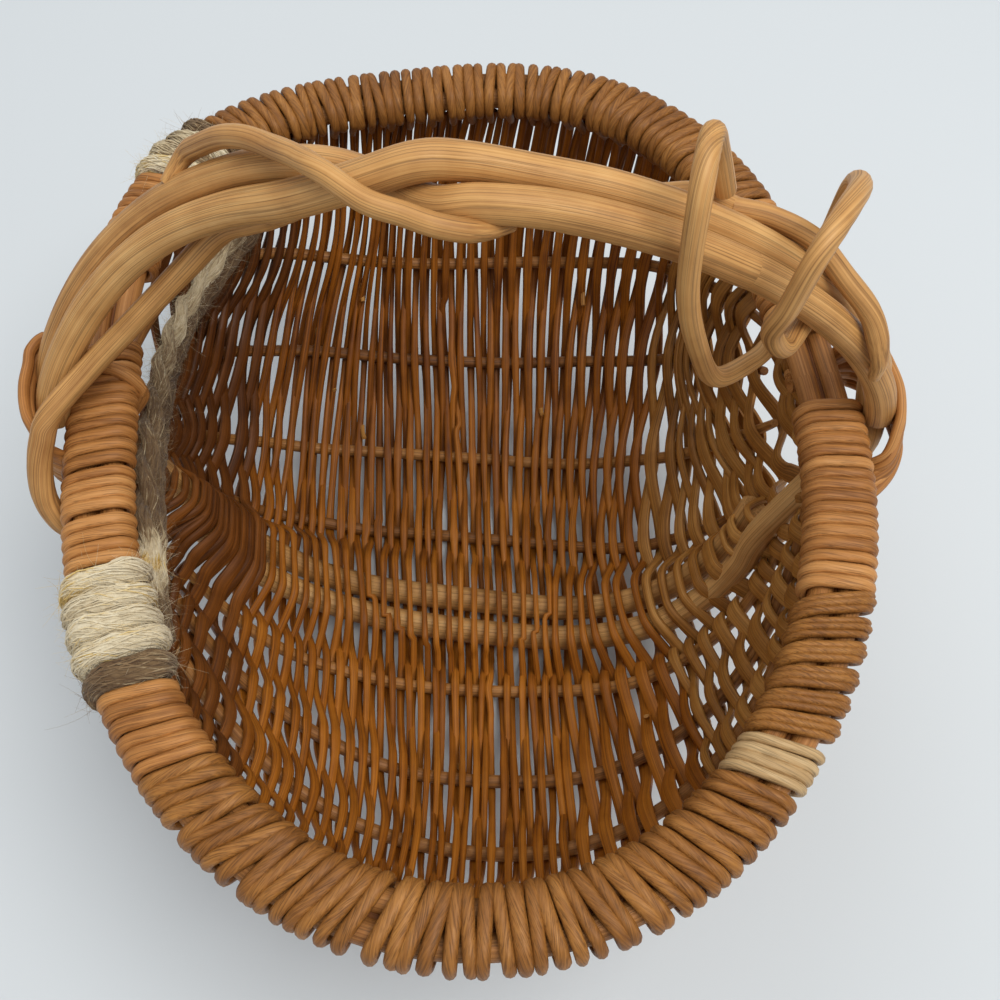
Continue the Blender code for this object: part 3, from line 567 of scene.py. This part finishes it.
# %% Helix round the rim
def wind(start, end, pitch, wide, thick, seed, jitter=0.12, bulge=0.0, lean=None):
    """Helix from one angle of the rim to another: place, way along, half width, tone. lean is a
    slant of its own in place of the rim's."""
    luck = np.random.default_rng(seed)
    run = np.interp(np.radians([start, end]), rim_turns, rim_run)
    turns = max(2, round(abs(run[1] - run[0]) / pitch))
    count = turns * 24 + 1
    t = np.linspace(0, turns, count)
    phase = -2 * math.pi * t - math.pi / 2
    out, up = round_rods(phase, thick + bulge)
    shift = luck.uniform(-jitter, jitter, turns + 2) * pitch
    s = run[0] + (run[1] - run[0]) * t / turns + np.interp(t, np.arange(turns + 2), shift)
    degrees = np.degrees(np.interp(s, rim_run, rim_turns))
    s = s + (rim_slant(degrees) if lean is None else lean) * out / 0.0100
    where = np.interp(s, rim_run, rim_turns)
    centre, ahead, outward = rim_frame(where)
    path = centre + out[:, None] * outward + up[:, None] * UP
    each = np.floor(t).astype(int)
    width = wide * luck.uniform(1 - jitter, 1 + jitter, turns + 1)[each]
    width = np.convolve(np.pad(width, 3, mode="edge"), np.ones(7) / 7, "valid")
    tone = luck.uniform(0.1, 0.95, turns + 1)[each]
    return np.column_stack([path, ahead, width, tone])[None]


BOUND_HALF = 0.0018
BOUND = (("rim_binding_back_right", 3.0, 23.5, 0.0046, 0.00225, rim_cane),
         ("rim_binding_left_back", 138.8, 161.0, 0.0044, 0.00215, rim_cane),
         ("rim_binding_left", 172.5, 181.5, 0.0044, 0.00215, rim_cane),
         ("rim_binding_left", 182.2, 187.2, 0.0044, 0.00215, rim_cane),
         ("rim_binding_left", 187.9, 194.0, 0.0044, 0.00215, rim_cane),
         ("rim_binding_front_left", 209.6, 220.8, 0.0047, 0.0023, rim_cane),
         ("rim_binding_front_right", 305.0, 310.8, 0.0034, 0.0018, pale_cane),
         ("rim_binding_front_right", 330.9, 355.8, 0.0045, 0.00225, rim_cane))
for number, (node, start, end, pitch, wide, finish) in enumerate(BOUND, 1):
    helix = wind(start, end, pitch, wide, BOUND_HALF, seed=40 + number)
    piece = sweep(f"{node}_turns_{number}", helix[..., :3], helix[..., 3:6], helix[..., 6], BOUND_HALF, finish,
                  tone=helix[..., 7], sides=10, square=2.0, slant=0.10)
    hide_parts(node)

# %% [markdown]
# At the right front the turns are thick: each is a bundle of three reeds laid side by side, the
# middle one a little higher, and the whole bundle lies aslant over the rim.

# %% Thick turns at the right front
for number, (shift, bulge) in enumerate(((-0.0021, 0.0), (0.0, 0.0007), (0.0021, 0.0001)), 1):
    ends = np.degrees(np.interp(np.interp(np.radians([311.4, 330.4]), rim_turns, rim_run) + shift, rim_run, rim_turns))
    helix = wind(*ends, 0.0078, 0.0014, BOUND_HALF, seed=51, bulge=bulge, lean=0.0030)
    piece = sweep(f"thick_turns_{number}", helix[..., :3], helix[..., 3:6], helix[..., 6], 0.0018, turn_cane,
                  tone=np.clip(0.45 + 0.4 * helix[..., 7] + 0.12 * (number - 2), 0, 1), sides=10, square=2.0, slant=0.45)
    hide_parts("rim_binding_front_right")

# %% [markdown]
# ## Handle
# Two 11 mm rods cross once over the top and go right round the basket as its keel. A third strand
# lies behind them at the right and one crosses there to the front, a thin tail winds over them at the left of the middle, a tendril
# curls twice round the right foot, and one strand comes down outside the left ear. All follow the
# arch, given by the angle from the right ear (0) to the left ear (half a turn). Its left arm leans
# in and bows to the back.

# %% The arch and what lies off it
HOOP_ROD, APART = 0.011, 0.0118
HALF_SPAN, RISE = 0.1415, 0.107


def arch(angle):
    """x = half span * cos^(2/p) * lean, z = rise * sin^(2/p), y on the ear line plus the bow."""
    left = np.cos(angle) < 0
    power = np.where(left, 1.54, 1.7)
    x = HALF_SPAN * signed_power(np.cos(angle), 2 / power) * (1 - np.where(left, 0.071, 0) * np.sin(angle) ** 2)
    bow = np.where(left, 0.0225, 0) * np.sin(2 * angle) ** 2
    return np.stack([x, axis_place(x) + bow, RIM_HEIGHT + RISE * np.abs(np.sin(angle)) ** (2 / power)], -1)


def off_arch(angle, radius, lean):
    """A point this far off the arch: lean is 0 outward and a quarter turn to the back."""
    ahead = unit(arch(angle + 1e-4) - arch(angle - 1e-4))
    out = unit(np.cross(np.array([SKEW, 1.0, 0.0]), ahead))
    back = np.cross(ahead, out)
    radius, lean = np.asarray(radius)[..., None], np.asarray(lean)[..., None]
    return arch(angle) + radius * (np.cos(lean) * out + np.sin(lean) * back)


def twist(angle):
    """Lean of the first rod: behind at the left, below at the crossing, in front at the right."""
    share = np.clip((angle - math.radians(78)) / math.radians(40), 0, 1)
    return np.radians(270 - 190 * share * share * (3 - 2 * share))


def keel_run(side, start, end):
    """A keel rod along the inside of the bottom, 7.7 mm to one side of the keel line."""
    turn, step = np.radians(np.linspace(start, end, 19)), 1e-3
    keel = rib_angle(turn, KEEL)
    pace = np.linalg.norm(wall_middle(turn, keel + step) - wall_middle(turn, keel - step), axis=-1) / (2 * step)
    angle = keel - side * 0.0077 / pace
    return wall_middle(turn, angle) + wall_inward(turn, angle) * (WALL / 2 + 0.0010 + HOOP_ROD / 2)


def ear_passage(sign, side, keel_end):
    """Where a hoop rod goes from the inside of the wall under the rim to its outside."""
    ear = axis_place(sign * HALF_SPAN) + side * APART / 2
    x = sign * HALF_SPAN * np.array([0.985, 0.930])
    y = ear + (keel_end[1] - ear) * np.array([0.05, 0.24])
    return np.stack([x, y, RIM_HEIGHT - BOWL_DEPTH * np.array([0.070, 0.145])], -1)


def round_strand(name, node, points, half, finish, count, sides=14, tone=0.5, knots=0.0):
    """A round strand through these points, with slight swellings along it."""
    path = evenly(catmull(points[None], 12), count)
    run = np.cumsum(np.linalg.norm(np.diff(path, axis=1, prepend=path[:, :1]), axis=-1), axis=1)
    swell = 1 + knots * (np.sin(run / 0.019) * 0.5 + np.sin(run / 0.0073 + 1.0) * 0.3)
    side = np.broadcast_to(np.array([0.12, 1.0, 0.05]), path.shape)
    shade_along = tone + 0.12 * np.sin(run / 0.031 + 40 * tone) + 0.06 * np.sin(run / 0.011)
    piece = sweep(name, path, side, half * swell, half * swell, finish, tone=np.clip(shade_along, 0, 1), sides=sides)
    if node:
        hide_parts(node)
    return piece


over = np.radians(np.linspace(50, 177, 16))
keel_first = keel_run(1, 160, 20)
first = np.concatenate([off_arch(over, np.full(16, APART / 2), twist(over)), ear_passage(-1, 1, keel_first[0]), keel_first])
round_strand("hoop_rod_first_cane", "hoop_rod_first", first, HOOP_ROD / 2, handle_cane, 320, tone=0.42, knots=0.03)
over = np.radians(np.linspace(177, 4, 20))
keel_second = keel_run(-1, 20, 160)
second = np.concatenate([off_arch(over, np.full(20, APART / 2), twist(over) + math.pi), ear_passage(1, -1, keel_second[0]), keel_second])
round_strand("hoop_rod_second_cane", "hoop_rod_second", second, HOOP_ROD / 2, handle_cane, 320, tone=0.6, knots=0.03)

# %% Lighter strands of the handle
SIDE_HALF, TAIL_HALF, LOOP_HALF, TENDRIL_HALF = 0.0035, 0.00335, 0.0040, 0.00325
middle_line = arch(np.linspace(math.pi, 0, 400))


def shares_to_places(shares, reach):
    """Places given as shares of the handle's half span, a reach to the back and its rise. The
    reach counts from the handle's own middle, with its bow."""
    shares = np.asarray(shares, float)
    x = shares[:, 0] * HALF_SPAN
    bow = np.interp(x, middle_line[:, 0], middle_line[:, 1] - axis_place(middle_line[:, 0]))
    return np.stack([x, axis_place(x) + bow + shares[:, 1] * reach, RIM_HEIGHT + shares[:, 2] * RISE], -1)


TAIL = (
    (-0.572, 0.28, 0.735), (-0.520, 0.56, 0.790), (-0.468, 0.47, 0.860), (-0.418, 0.35, 0.922), (-0.369, 0.22, 0.964),
    (-0.313, 0.05, 0.992), (-0.262, -0.20, 1.034), (-0.215, -0.43, 1.058), (-0.145, -0.60, 1.034),
    (-0.075, -0.58, 1.010), (-0.013, -0.60, 0.990), (0.056, -0.50, 0.950), (0.122, -0.20, 0.900))
TENDRIL = (
    (0.554, 0.50, 0.850), (0.519, 0.42, 1.006), (0.482, 0.08, 1.124), (0.444, -0.58, 1.067),
    (0.441, -0.83, 0.811), (0.485, -0.79, 0.568), (0.557, -0.54, 0.335), (0.668, 0.00, 0.240),
    (0.734, 0.38, 0.225), (0.805, 0.88, 0.288), (0.838, 1.08, 0.478), (0.840, 0.95, 0.751),
    (0.802, 0.35, 0.890), (0.728, -0.33, 0.957), (0.662, -0.83, 0.930), (0.627, -1.00, 0.785),
    (0.617, -0.92, 0.660), (0.676, -0.67, 0.518), (0.767, 0.04, 0.472))
EAR_LOOP = (
    (-0.576, -0.15, 0.517), (-0.705, -0.30, 0.381), (-0.834, -0.39, 0.263), (-0.947, -0.51, 0.192),
    (-0.980, -0.61, 0.143), (-1.002, -0.73, 0.071), (-1.006, -0.90, -0.005), (-0.981, -1.08, -0.080), (-0.945, -1.16, -0.115))
over = np.radians(np.linspace(70, 11, 24))
tuck = np.interp(over, np.radians([56, 70]), [0, 1])
side_path = off_arch(over, APART / 2 + HOOP_ROD / 2 + SIDE_HALF + 0.0008 - 0.004 * tuck, math.pi / 2 + 0.9 * tuck)
round_strand("handle_side_cane", "handle_side_strand", side_path, SIDE_HALF, handle_cane, 90, tone=0.35, knots=0.03)
over = np.radians([52, 47, 42, 37, 32, 27, 23])
crossing = off_arch(over, np.array([15.0, 15.0, 12.8, 9.2, 11.2, 14.2, 13.5]) / 1000, np.radians([90, 75, 50, 15, -30, -65, -85]))
crossing_half = np.interp(np.linspace(0, 1, 90), [0, 0.8, 1], [SIDE_HALF - 0.0001, SIDE_HALF, 0.0020])
round_strand("crossing_strand", None, crossing, crossing_half, handle_cane, 90, tone=0.3, knots=0.03)
foot = np.radians(np.linspace(53, 2, 14))
foot_path = off_arch(foot, np.full(14, APART / 2), np.full(14, math.radians(270)))
round_strand("first_rod_foot", None, foot_path, HOOP_ROD / 2 - 0.0002, handle_cane, 120, tone=0.34, knots=0.02)
tail_half = np.interp(np.linspace(0, 1, 150), [0, 0.10, 0.88, 1], [0.0020, TAIL_HALF, TAIL_HALF, 0.0022])
round_strand("handle_tail_cane", "handle_tail_strand", shares_to_places(TAIL, 0.024), tail_half, handle_cane, 150, tone=0.3, knots=0.03)
round_strand("tendril_cane", "handle_tendril", shares_to_places(TENDRIL, 0.024), TENDRIL_HALF, handle_cane, 260, tone=0.5, knots=0.04)
under = off_arch(np.radians([113.0, 118.0, 123.0, 128.0]), np.array([0.0085, 0.0102, 0.0108, 0.0112]), np.radians(np.full(4, 192.0)))
loop_path = np.concatenate([under, shares_to_places(EAR_LOOP, 0.040)])
loop_half = np.interp(np.linspace(0, 1, 150), [0, 0.1], [0.0022, LOOP_HALF])
round_strand("ear_loop_cane", "ear_loop_left", loop_path, loop_half, handle_cane, 150, tone=0.3, knots=0.04)

# %% [markdown]
# A small ring on the second rod marks where a side shoot was cut off. It lies on the rod's surface:
# the place along the arch and the place round the rod each follow a circle.

# %% Knot mark
t = np.linspace(0, 2 * math.pi, 26)
round_rod = np.radians(-19) + 0.20 * np.sin(t)
knot_out, knot_back = (HOOP_ROD / 2 + 0.0001) * np.cos(round_rod), APART / 2 + (HOOP_ROD / 2 + 0.0001) * np.sin(round_rod)
ring = off_arch(np.radians(33) + 0.013 * np.cos(t), np.hypot(knot_out, knot_back), np.arctan2(knot_back, knot_out))
mark = sweep("knot_mark", ring[None], np.broadcast_to(UP, (1, 26, 3)), 0.00045, 0.00040, old_cane, tone=[[0.0]], sides=6)

# %% [markdown]
# ## Ear lashings
# At each ear a few turns of reed hold the hoop to the rim. They come from under the rim, run round
# the outside of the two hoop rods and go back under the rim on the other side. At the left the two
# upper ones come over the top of the rim. Each is one smooth strand through a few places round the
# ear, and the turns bulge and fan out a little.


# %% Lashings
def lash(name, sign, levels, half, seed, crossing, fan, reach, off):
    """Strands round the outside of the hoop's foot. levels are heights off the rim's middle, and
    reach draws the lower strands on along the rim. off is how far they stand off the rods."""
    luck = np.random.default_rng(seed)
    x, out = sign * HALF_SPAN, HOOP_ROD / 2 + off
    y = axis_place(x)
    below = [(-0.0230, 0.0190, -0.0095), (-0.0160, 0.0215, -0.0100), (-0.0080, 0.0225, -0.0080), (-0.0015, 0.0215, -0.0030)]
    over = [(-0.0235, 0.0010, -0.0105), (-0.0292, 0.0025, -0.0040), (-0.0288, 0.0035, 0.0020), (-0.0228, 0.0055, 0.0092),
            (-0.0105, 0.0100, 0.0098), (-0.0030, 0.0175, 0.0060)]
    round_ = [(out * 0.50, 0.0140, 0.0005), (out * 0.90, 0.0080, 0), (out, 0, 0), (out * 0.90, -0.0080, 0), (out * 0.50, -0.0140, -0.0005)]
    last = [(-0.0020, -0.0205, -0.0040), (-0.0090, -0.0215, -0.0090), (-0.0165, -0.0200, -0.0105), (-0.0225, -0.0180, -0.0095)]
    paths = []
    for number, level in enumerate(levels):
        one = np.array((over if number >= len(levels) - crossing else below) + round_ + last)
        share = 2 * number / (len(levels) - 1) - 1
        one[:, 1] += 0.0022 * share * (one[:, 0] < -0.006)
        one[-5:, 1] -= reach * (1 - share) * np.array([0.2, 0.6, 1, 1, 1])
        one[:, 0] += 0.0012 * (1 - share) * (one[:, 0] > -0.003)
        one[:, 2] += level * np.interp(one[:, 0], [-0.010, 0.0], [0.05, 1.0]) * (1 + fan * one[:, 1] / 0.012)
        one += luck.normal(0, 0.0003, one.shape)
        paths.append(np.stack([x + sign * one[:, 0], y + one[:, 1], RIM_HEIGHT + one[:, 2]], -1))
    paths = np.array([evenly(catmull(path[None], 8), 90)[0] for path in paths])
    piece = sweep(name + "_reed", paths, np.broadcast_to(UP + (0.01, 0.02, 0), paths.shape), half, 0.0018, rim_cane, sides=10, square=2.0)
    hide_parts(name)


lash("ear_lashing_left", -1, np.linspace(-0.0105, 0.0150, 7), 0.0025, 3, 2, 0.10, 0.0, -0.0008)
lash("ear_lashing_right", 1, np.linspace(-0.0095, 0.0090, 6), 0.0023, 4, 0, 0.30, 0.0035, 0.0)

# %% [markdown]
# ## Wool
# Handspun wool is wound round the rim in two places and laid down the inside of the left wall. It
# is thick, uneven and matt, its colour runs from cream over grey to mustard along the yarn, and
# loose fibres stand off it. The yarn is a soft strand, and the fibres are thin curved hairs that
# start on its surface.


# %% Wool material
def wool(name):
    finish = bpy.data.materials.new(name)
    finish.use_nodes = True
    nodes, links = finish.node_tree.nodes, finish.node_tree.links
    shader = nodes["Principled BSDF"]
    tone, place = nodes.new("ShaderNodeAttribute"), nodes.new("ShaderNodeTexCoord")
    tone.attribute_name = "tone"
    clump = nodes.new("ShaderNodeTexNoise")
    clump.inputs["Scale"].default_value, clump.inputs["Detail"].default_value = 320.0, 6.0
    links.new(place.outputs["Object"], clump.inputs["Vector"])
    mix = nodes.new("ShaderNodeMath")
    mix.operation = "MULTIPLY_ADD"
    mix.inputs[1].default_value = 0.22
    links.new(clump.outputs["Fac"], mix.inputs[0])
    links.new(tone.outputs["Fac"], mix.inputs[2])
    ramp = nodes.new("ShaderNodeValToRGB")
    stops = ((0.0, (92, 68, 46)), (0.22, (130, 106, 76)), (0.38, (190, 172, 138)), (0.62, (220, 208, 180)),
             (0.78, (206, 176, 108)), (0.90, (168, 132, 44)), (1.0, (196, 132, 84)))
    ramp.color_ramp.elements[0].position, ramp.color_ramp.elements[1].position = stops[0][0] + 0.08, stops[-1][0]
    ramp.color_ramp.elements[0].color, ramp.color_ramp.elements[1].color = from_screen(*stops[0][1]), from_screen(*stops[-1][1])
    for position, colour in stops[1:-1]:
        ramp.color_ramp.elements.new(position + 0.08 * (1 - position)).color = from_screen(*colour)
    links.new(mix.outputs[0], ramp.inputs["Fac"])
    links.new(ramp.outputs["Color"], shader.inputs["Base Color"])
    shader.inputs["Roughness"].default_value = 0.95
    shader.inputs["Specular IOR Level"].default_value = 0.1
    shader.inputs["Sheen Weight"].default_value = 0.12
    shader.inputs["Sheen Roughness"].default_value = 0.6
    bump = nodes.new("ShaderNodeBump")
    bump.inputs["Strength"].default_value, bump.inputs["Distance"].default_value = 0.9, 0.0012
    links.new(clump.outputs["Fac"], bump.inputs["Height"])
    links.new(bump.outputs["Normal"], shader.inputs["Normal"])
    return finish


wool_yarn = wool("handspun_wool")


def soft_yarn(name, node, columns, half, seed, colours, laid, twist=0.011):
    """A lumpy core, many thin fibres laid round it at radius half with a slow turn along the yarn
    (angle = start + run / twist + a wobble), and a few loose hairs."""
    luck = np.random.default_rng(seed)
    path, side = columns[..., :3], columns[..., 3:6]
    places = path.shape[1]
    run = np.cumsum(np.linalg.norm(np.diff(path, axis=1, prepend=path[:, :1]), axis=-1), axis=1)
    lumps = 1 + 0.08 * np.sin(run / 0.0021 + luck.uniform(0, 6)) + 0.10 * np.sin(run / 0.0056 + luck.uniform(0, 6))
    tone = np.interp(run, np.linspace(0, run[0, -1], len(colours)), colours)
    core = sweep(name, path, side, half * 0.9 * lumps, half * 0.9 * lumps, wool_yarn, tone=tone, sides=14)
    ahead = unit(np.gradient(path, axis=1))
    across = unit(side - np.sum(side * ahead, -1, keepdims=True) * ahead)
    normal = np.cross(ahead, across)
    start, speed, phase = luck.uniform(0, 2 * math.pi, (laid, 1)), luck.uniform(0.7, 1.4, (laid, 1)), luck.uniform(0, 6, (laid, 1))
    angle = start + run / twist + 0.45 * np.sin(speed * run / 0.0042 + phase)
    radius = half * lumps * (0.90 + 0.10 * np.sin(speed * run / 0.0029 + 2 * phase)) + luck.uniform(0, 0.0003, (laid, 1))
    strands = path + radius[..., None] * (np.cos(angle)[..., None] * across + np.sin(angle)[..., None] * normal)
    own = np.clip(tone + luck.normal(0, 0.07, (laid, 1)) + 0.04 * np.sin(run / 0.004 + phase), 0, 1)
    thin = luck.uniform(0.00014, 0.00030, (laid, 1))
    wrap = sweep(name + "_fibres", strands, np.broadcast_to(across, strands.shape), thin, thin, wool_yarn, tone=own, sides=4)
    hairs = 1400
    spot, turn = luck.integers(2, places - 2, hairs), luck.uniform(0, 2 * math.pi, hairs)
    out = np.cos(turn)[:, None] * across[0, spot] + np.sin(turn)[:, None] * normal[0, spot]
    root = path[0, spot] + out * half * 0.95
    way = unit(out * luck.uniform(0.05, 0.75, (hairs, 1)) + ahead[0, spot] * luck.normal(0, 1.0, (hairs, 1)) + luck.normal(0, 0.3, (hairs, 3)))
    curl = unit(np.cross(way, luck.normal(0, 1, (hairs, 3))))
    length = luck.gamma(3.0, 0.0013, (hairs, 1, 1)) + 0.001
    t = np.linspace(0, 1, 6)[None, :, None]
    bend = luck.uniform(-0.5, 0.9, (hairs, 1, 1))
    hair = root[:, None] + length * (t * way[:, None] + bend * t**2 * curl[:, None])
    fine = np.broadcast_to(np.linspace(0.00005, 0.00002, 6), (hairs, 6))
    fuzz = sweep(name + "_hairs", hair, np.broadcast_to(curl[:, None], hair.shape) + 0.01, fine, fine, wool_yarn,
                 tone=np.clip(tone[0, spot][:, None] + luck.normal(0.08, 0.06, (hairs, 1)), 0, 1), sides=3)
    if node:
        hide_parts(node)


YARN_HALF = 0.0036
BACK_WOOL = (0.02, 0.05, 0.15, 0.45, 0.50, 0.10, 0.08, 0.30, 0.52, 0.50, 0.58, 0.55)
FRONT_WOOL = (0.34, 0.50, 0.74, 0.50, 0.32, 0.46, 0.52, 0.44, 0.52, 0.26, 0.06, 0.04)
for name, start, end, colours, seed in (("wool_binding_back", 121.3, 138.2, BACK_WOOL, 61), ("wool_binding_front", 194.2, 209.2, FRONT_WOOL, 62)):
    helix = wind(start, end, 0.0082, YARN_HALF, YARN_HALF * 0.62, seed, jitter=0.16)
    soft_yarn(name + "_yarn", name, helix, YARN_HALF * 1.12, seed, colours, 120, twist=0.020)

# %% Wool down the left wall
WOOL_ROUTE = np.radians([
    (120.12, 10.98), (125.18, 14.56), (130.91, 16.96), (149.51, 22.06), (165.04, 27.15), (175.18, 37.44),
    (177.56, 95.81), (172.76, 125.04), (168.79, 148.09), (163.09, 158.49), (157.99, 161.60)])
WOOL_LIFT = np.array([0.81, 0.68, 0.0, 0.0, 0.39, 0.98, 1.88, 1.95, 2.07, 0.68, -0.61]) / 1000
turn, angle = WOOL_ROUTE.T
inward = wall_inward(turn, angle)
path = wall_middle(turn, angle) + inward * (0.00755 + WOOL_LIFT)[:, None]
base = evenly(catmull(np.concatenate([path, inward], axis=1)[None], 12), 260)
run = np.cumsum(np.linalg.norm(np.diff(base[..., :3], axis=1, prepend=base[:, :1, :3]), axis=-1), axis=1)[..., None]
across = np.cross(unit(np.gradient(base[..., :3], axis=1)), unit(base[..., 3:6]))
ROW_WOOL = (0.12, 0.20, 0.34, 0.36, 0.30, 0.34, 0.26, 0.20, 0.16, 0.10, 0.14, 0.06, 0.05, 0.10, 0.72, 0.12, 0.30)
for number, spin in enumerate((0.0, math.pi)):
    wave = run / 0.0062 + spin
    ply = base[..., :3] + 0.0019 * (np.cos(wave) * across + np.sin(wave) * unit(base[..., 3:6]))
    soft_yarn(f"wool_row_ply_{number + 1}", "wool_row", np.concatenate([ply, across], -1), 0.0024, 71 + number, ROW_WOOL, 70, twist=0.024)
lean = across * np.sign(np.sum(across * (0.6, -0.2, -0.8), axis=-1, keepdims=True))
share = np.linspace(0, 1, 260)[None, :, None]
width = 0.0060 * np.interp(share, [0, 0.08, 0.6, 0.8, 1], [0.6, 1, 1, 0.7, 0.5])
roving = base[..., :3] + lean * (width + 0.0004 * np.sin(run / 0.006)) + unit(base[..., 3:6]) * 0.0012
DARK_WOOL = (0.02, 0.0, 0.05, 0.0, 0.02, 0.10, 0.02, 0.0, 0.04, 0.0, 0.10, 0.02, 0.0, 0.06, 0.55, 0.05, 0.02)
soft_yarn("wool_roving", None, np.concatenate([roving, across], -1), 0.0036, 75, DARK_WOOL, 80, twist=0.03)

# %% [markdown]
# ## Floor, light and camera
# The basket stands on a pale grey floor under large soft lamps. The camera looks down at it from
# the front, as in the photo: its place and tilt were found from the rim's and the keel's places.

# %% Floor
floor_finish = bpy.data.materials.new("pale_floor")
floor_finish.use_nodes = True
shader = floor_finish.node_tree.nodes["Principled BSDF"]
shader.inputs["Base Color"].default_value = from_screen(210, 215, 218)
shader.inputs["Roughness"].default_value = 0.9
shader.inputs["Specular IOR Level"].default_value = 0.1
mesh = bpy.data.meshes.new("floor")
mesh.from_pydata([(-4, -4, 0), (4, -4, 0), (4, 4, 0), (-4, 4, 0)], [], [(0, 1, 2, 3)])
mesh.materials.append(floor_finish)
floor = bpy.data.objects.new("floor", mesh)
bpy.context.scene.collection.objects.link(floor)

# %% Lamps
world = bpy.data.worlds.new("studio")
bpy.context.scene.world = world
world.use_nodes = True
world.node_tree.nodes["Background"].inputs["Color"].default_value = (0.96, 0.98, 1.0, 1.0)
world.node_tree.nodes["Background"].inputs["Strength"].default_value = 0.58


def lamp(name, place, aim, size, power, colour):
    light = bpy.data.lights.new(name, "AREA")
    light.shape, light.size, light.energy, light.color = "DISK", size, power, colour
    made = bpy.data.objects.new(name, light)
    made.location = place
    made.rotation_euler = (Vector(aim) - Vector(place)).to_track_quat("-Z", "Y").to_euler()
    bpy.context.scene.collection.objects.link(made)


lamp("key", (0.55, -0.35, 1.6), (0, 0, 0.08), 1.0, 17.5, (1.0, 0.985, 0.96))
lamp("back", (-0.3, 1.0, 1.5), (0, 0, 0.08), 1.2, 5.0, (0.97, 0.99, 1.0))

# %% Camera
tilt, roll, yaw = math.radians(28.31), math.radians(-2.19), math.radians(-4.96)
look = Vector((0, math.sin(tilt), -math.cos(tilt)))
lift, right = Vector((0, math.cos(tilt), math.sin(tilt))), Vector((1, 0, 0))
look, lift, right = (Matrix.Rotation(yaw, 3, "Z") @ v for v in (look, lift, right))
right, lift = math.cos(roll) * right + math.sin(roll) * lift, -math.sin(roll) * right + math.cos(roll) * lift
camera = bpy.data.objects.new("camera", bpy.data.cameras.new("camera"))
camera.data.sensor_width, camera.data.lens = 36.0, 38.95
camera.data.clip_start, camera.data.clip_end = 0.02, 20.0
camera.matrix_world = Matrix.Translation((-0.00604, -0.20055, 0.46622)) @ Matrix((right, lift, -look)).transposed().to_4x4()
bpy.context.scene.collection.objects.link(camera)
bpy.context.scene.camera = camera
bpy.context.scene.view_settings.view_transform = "Standard"
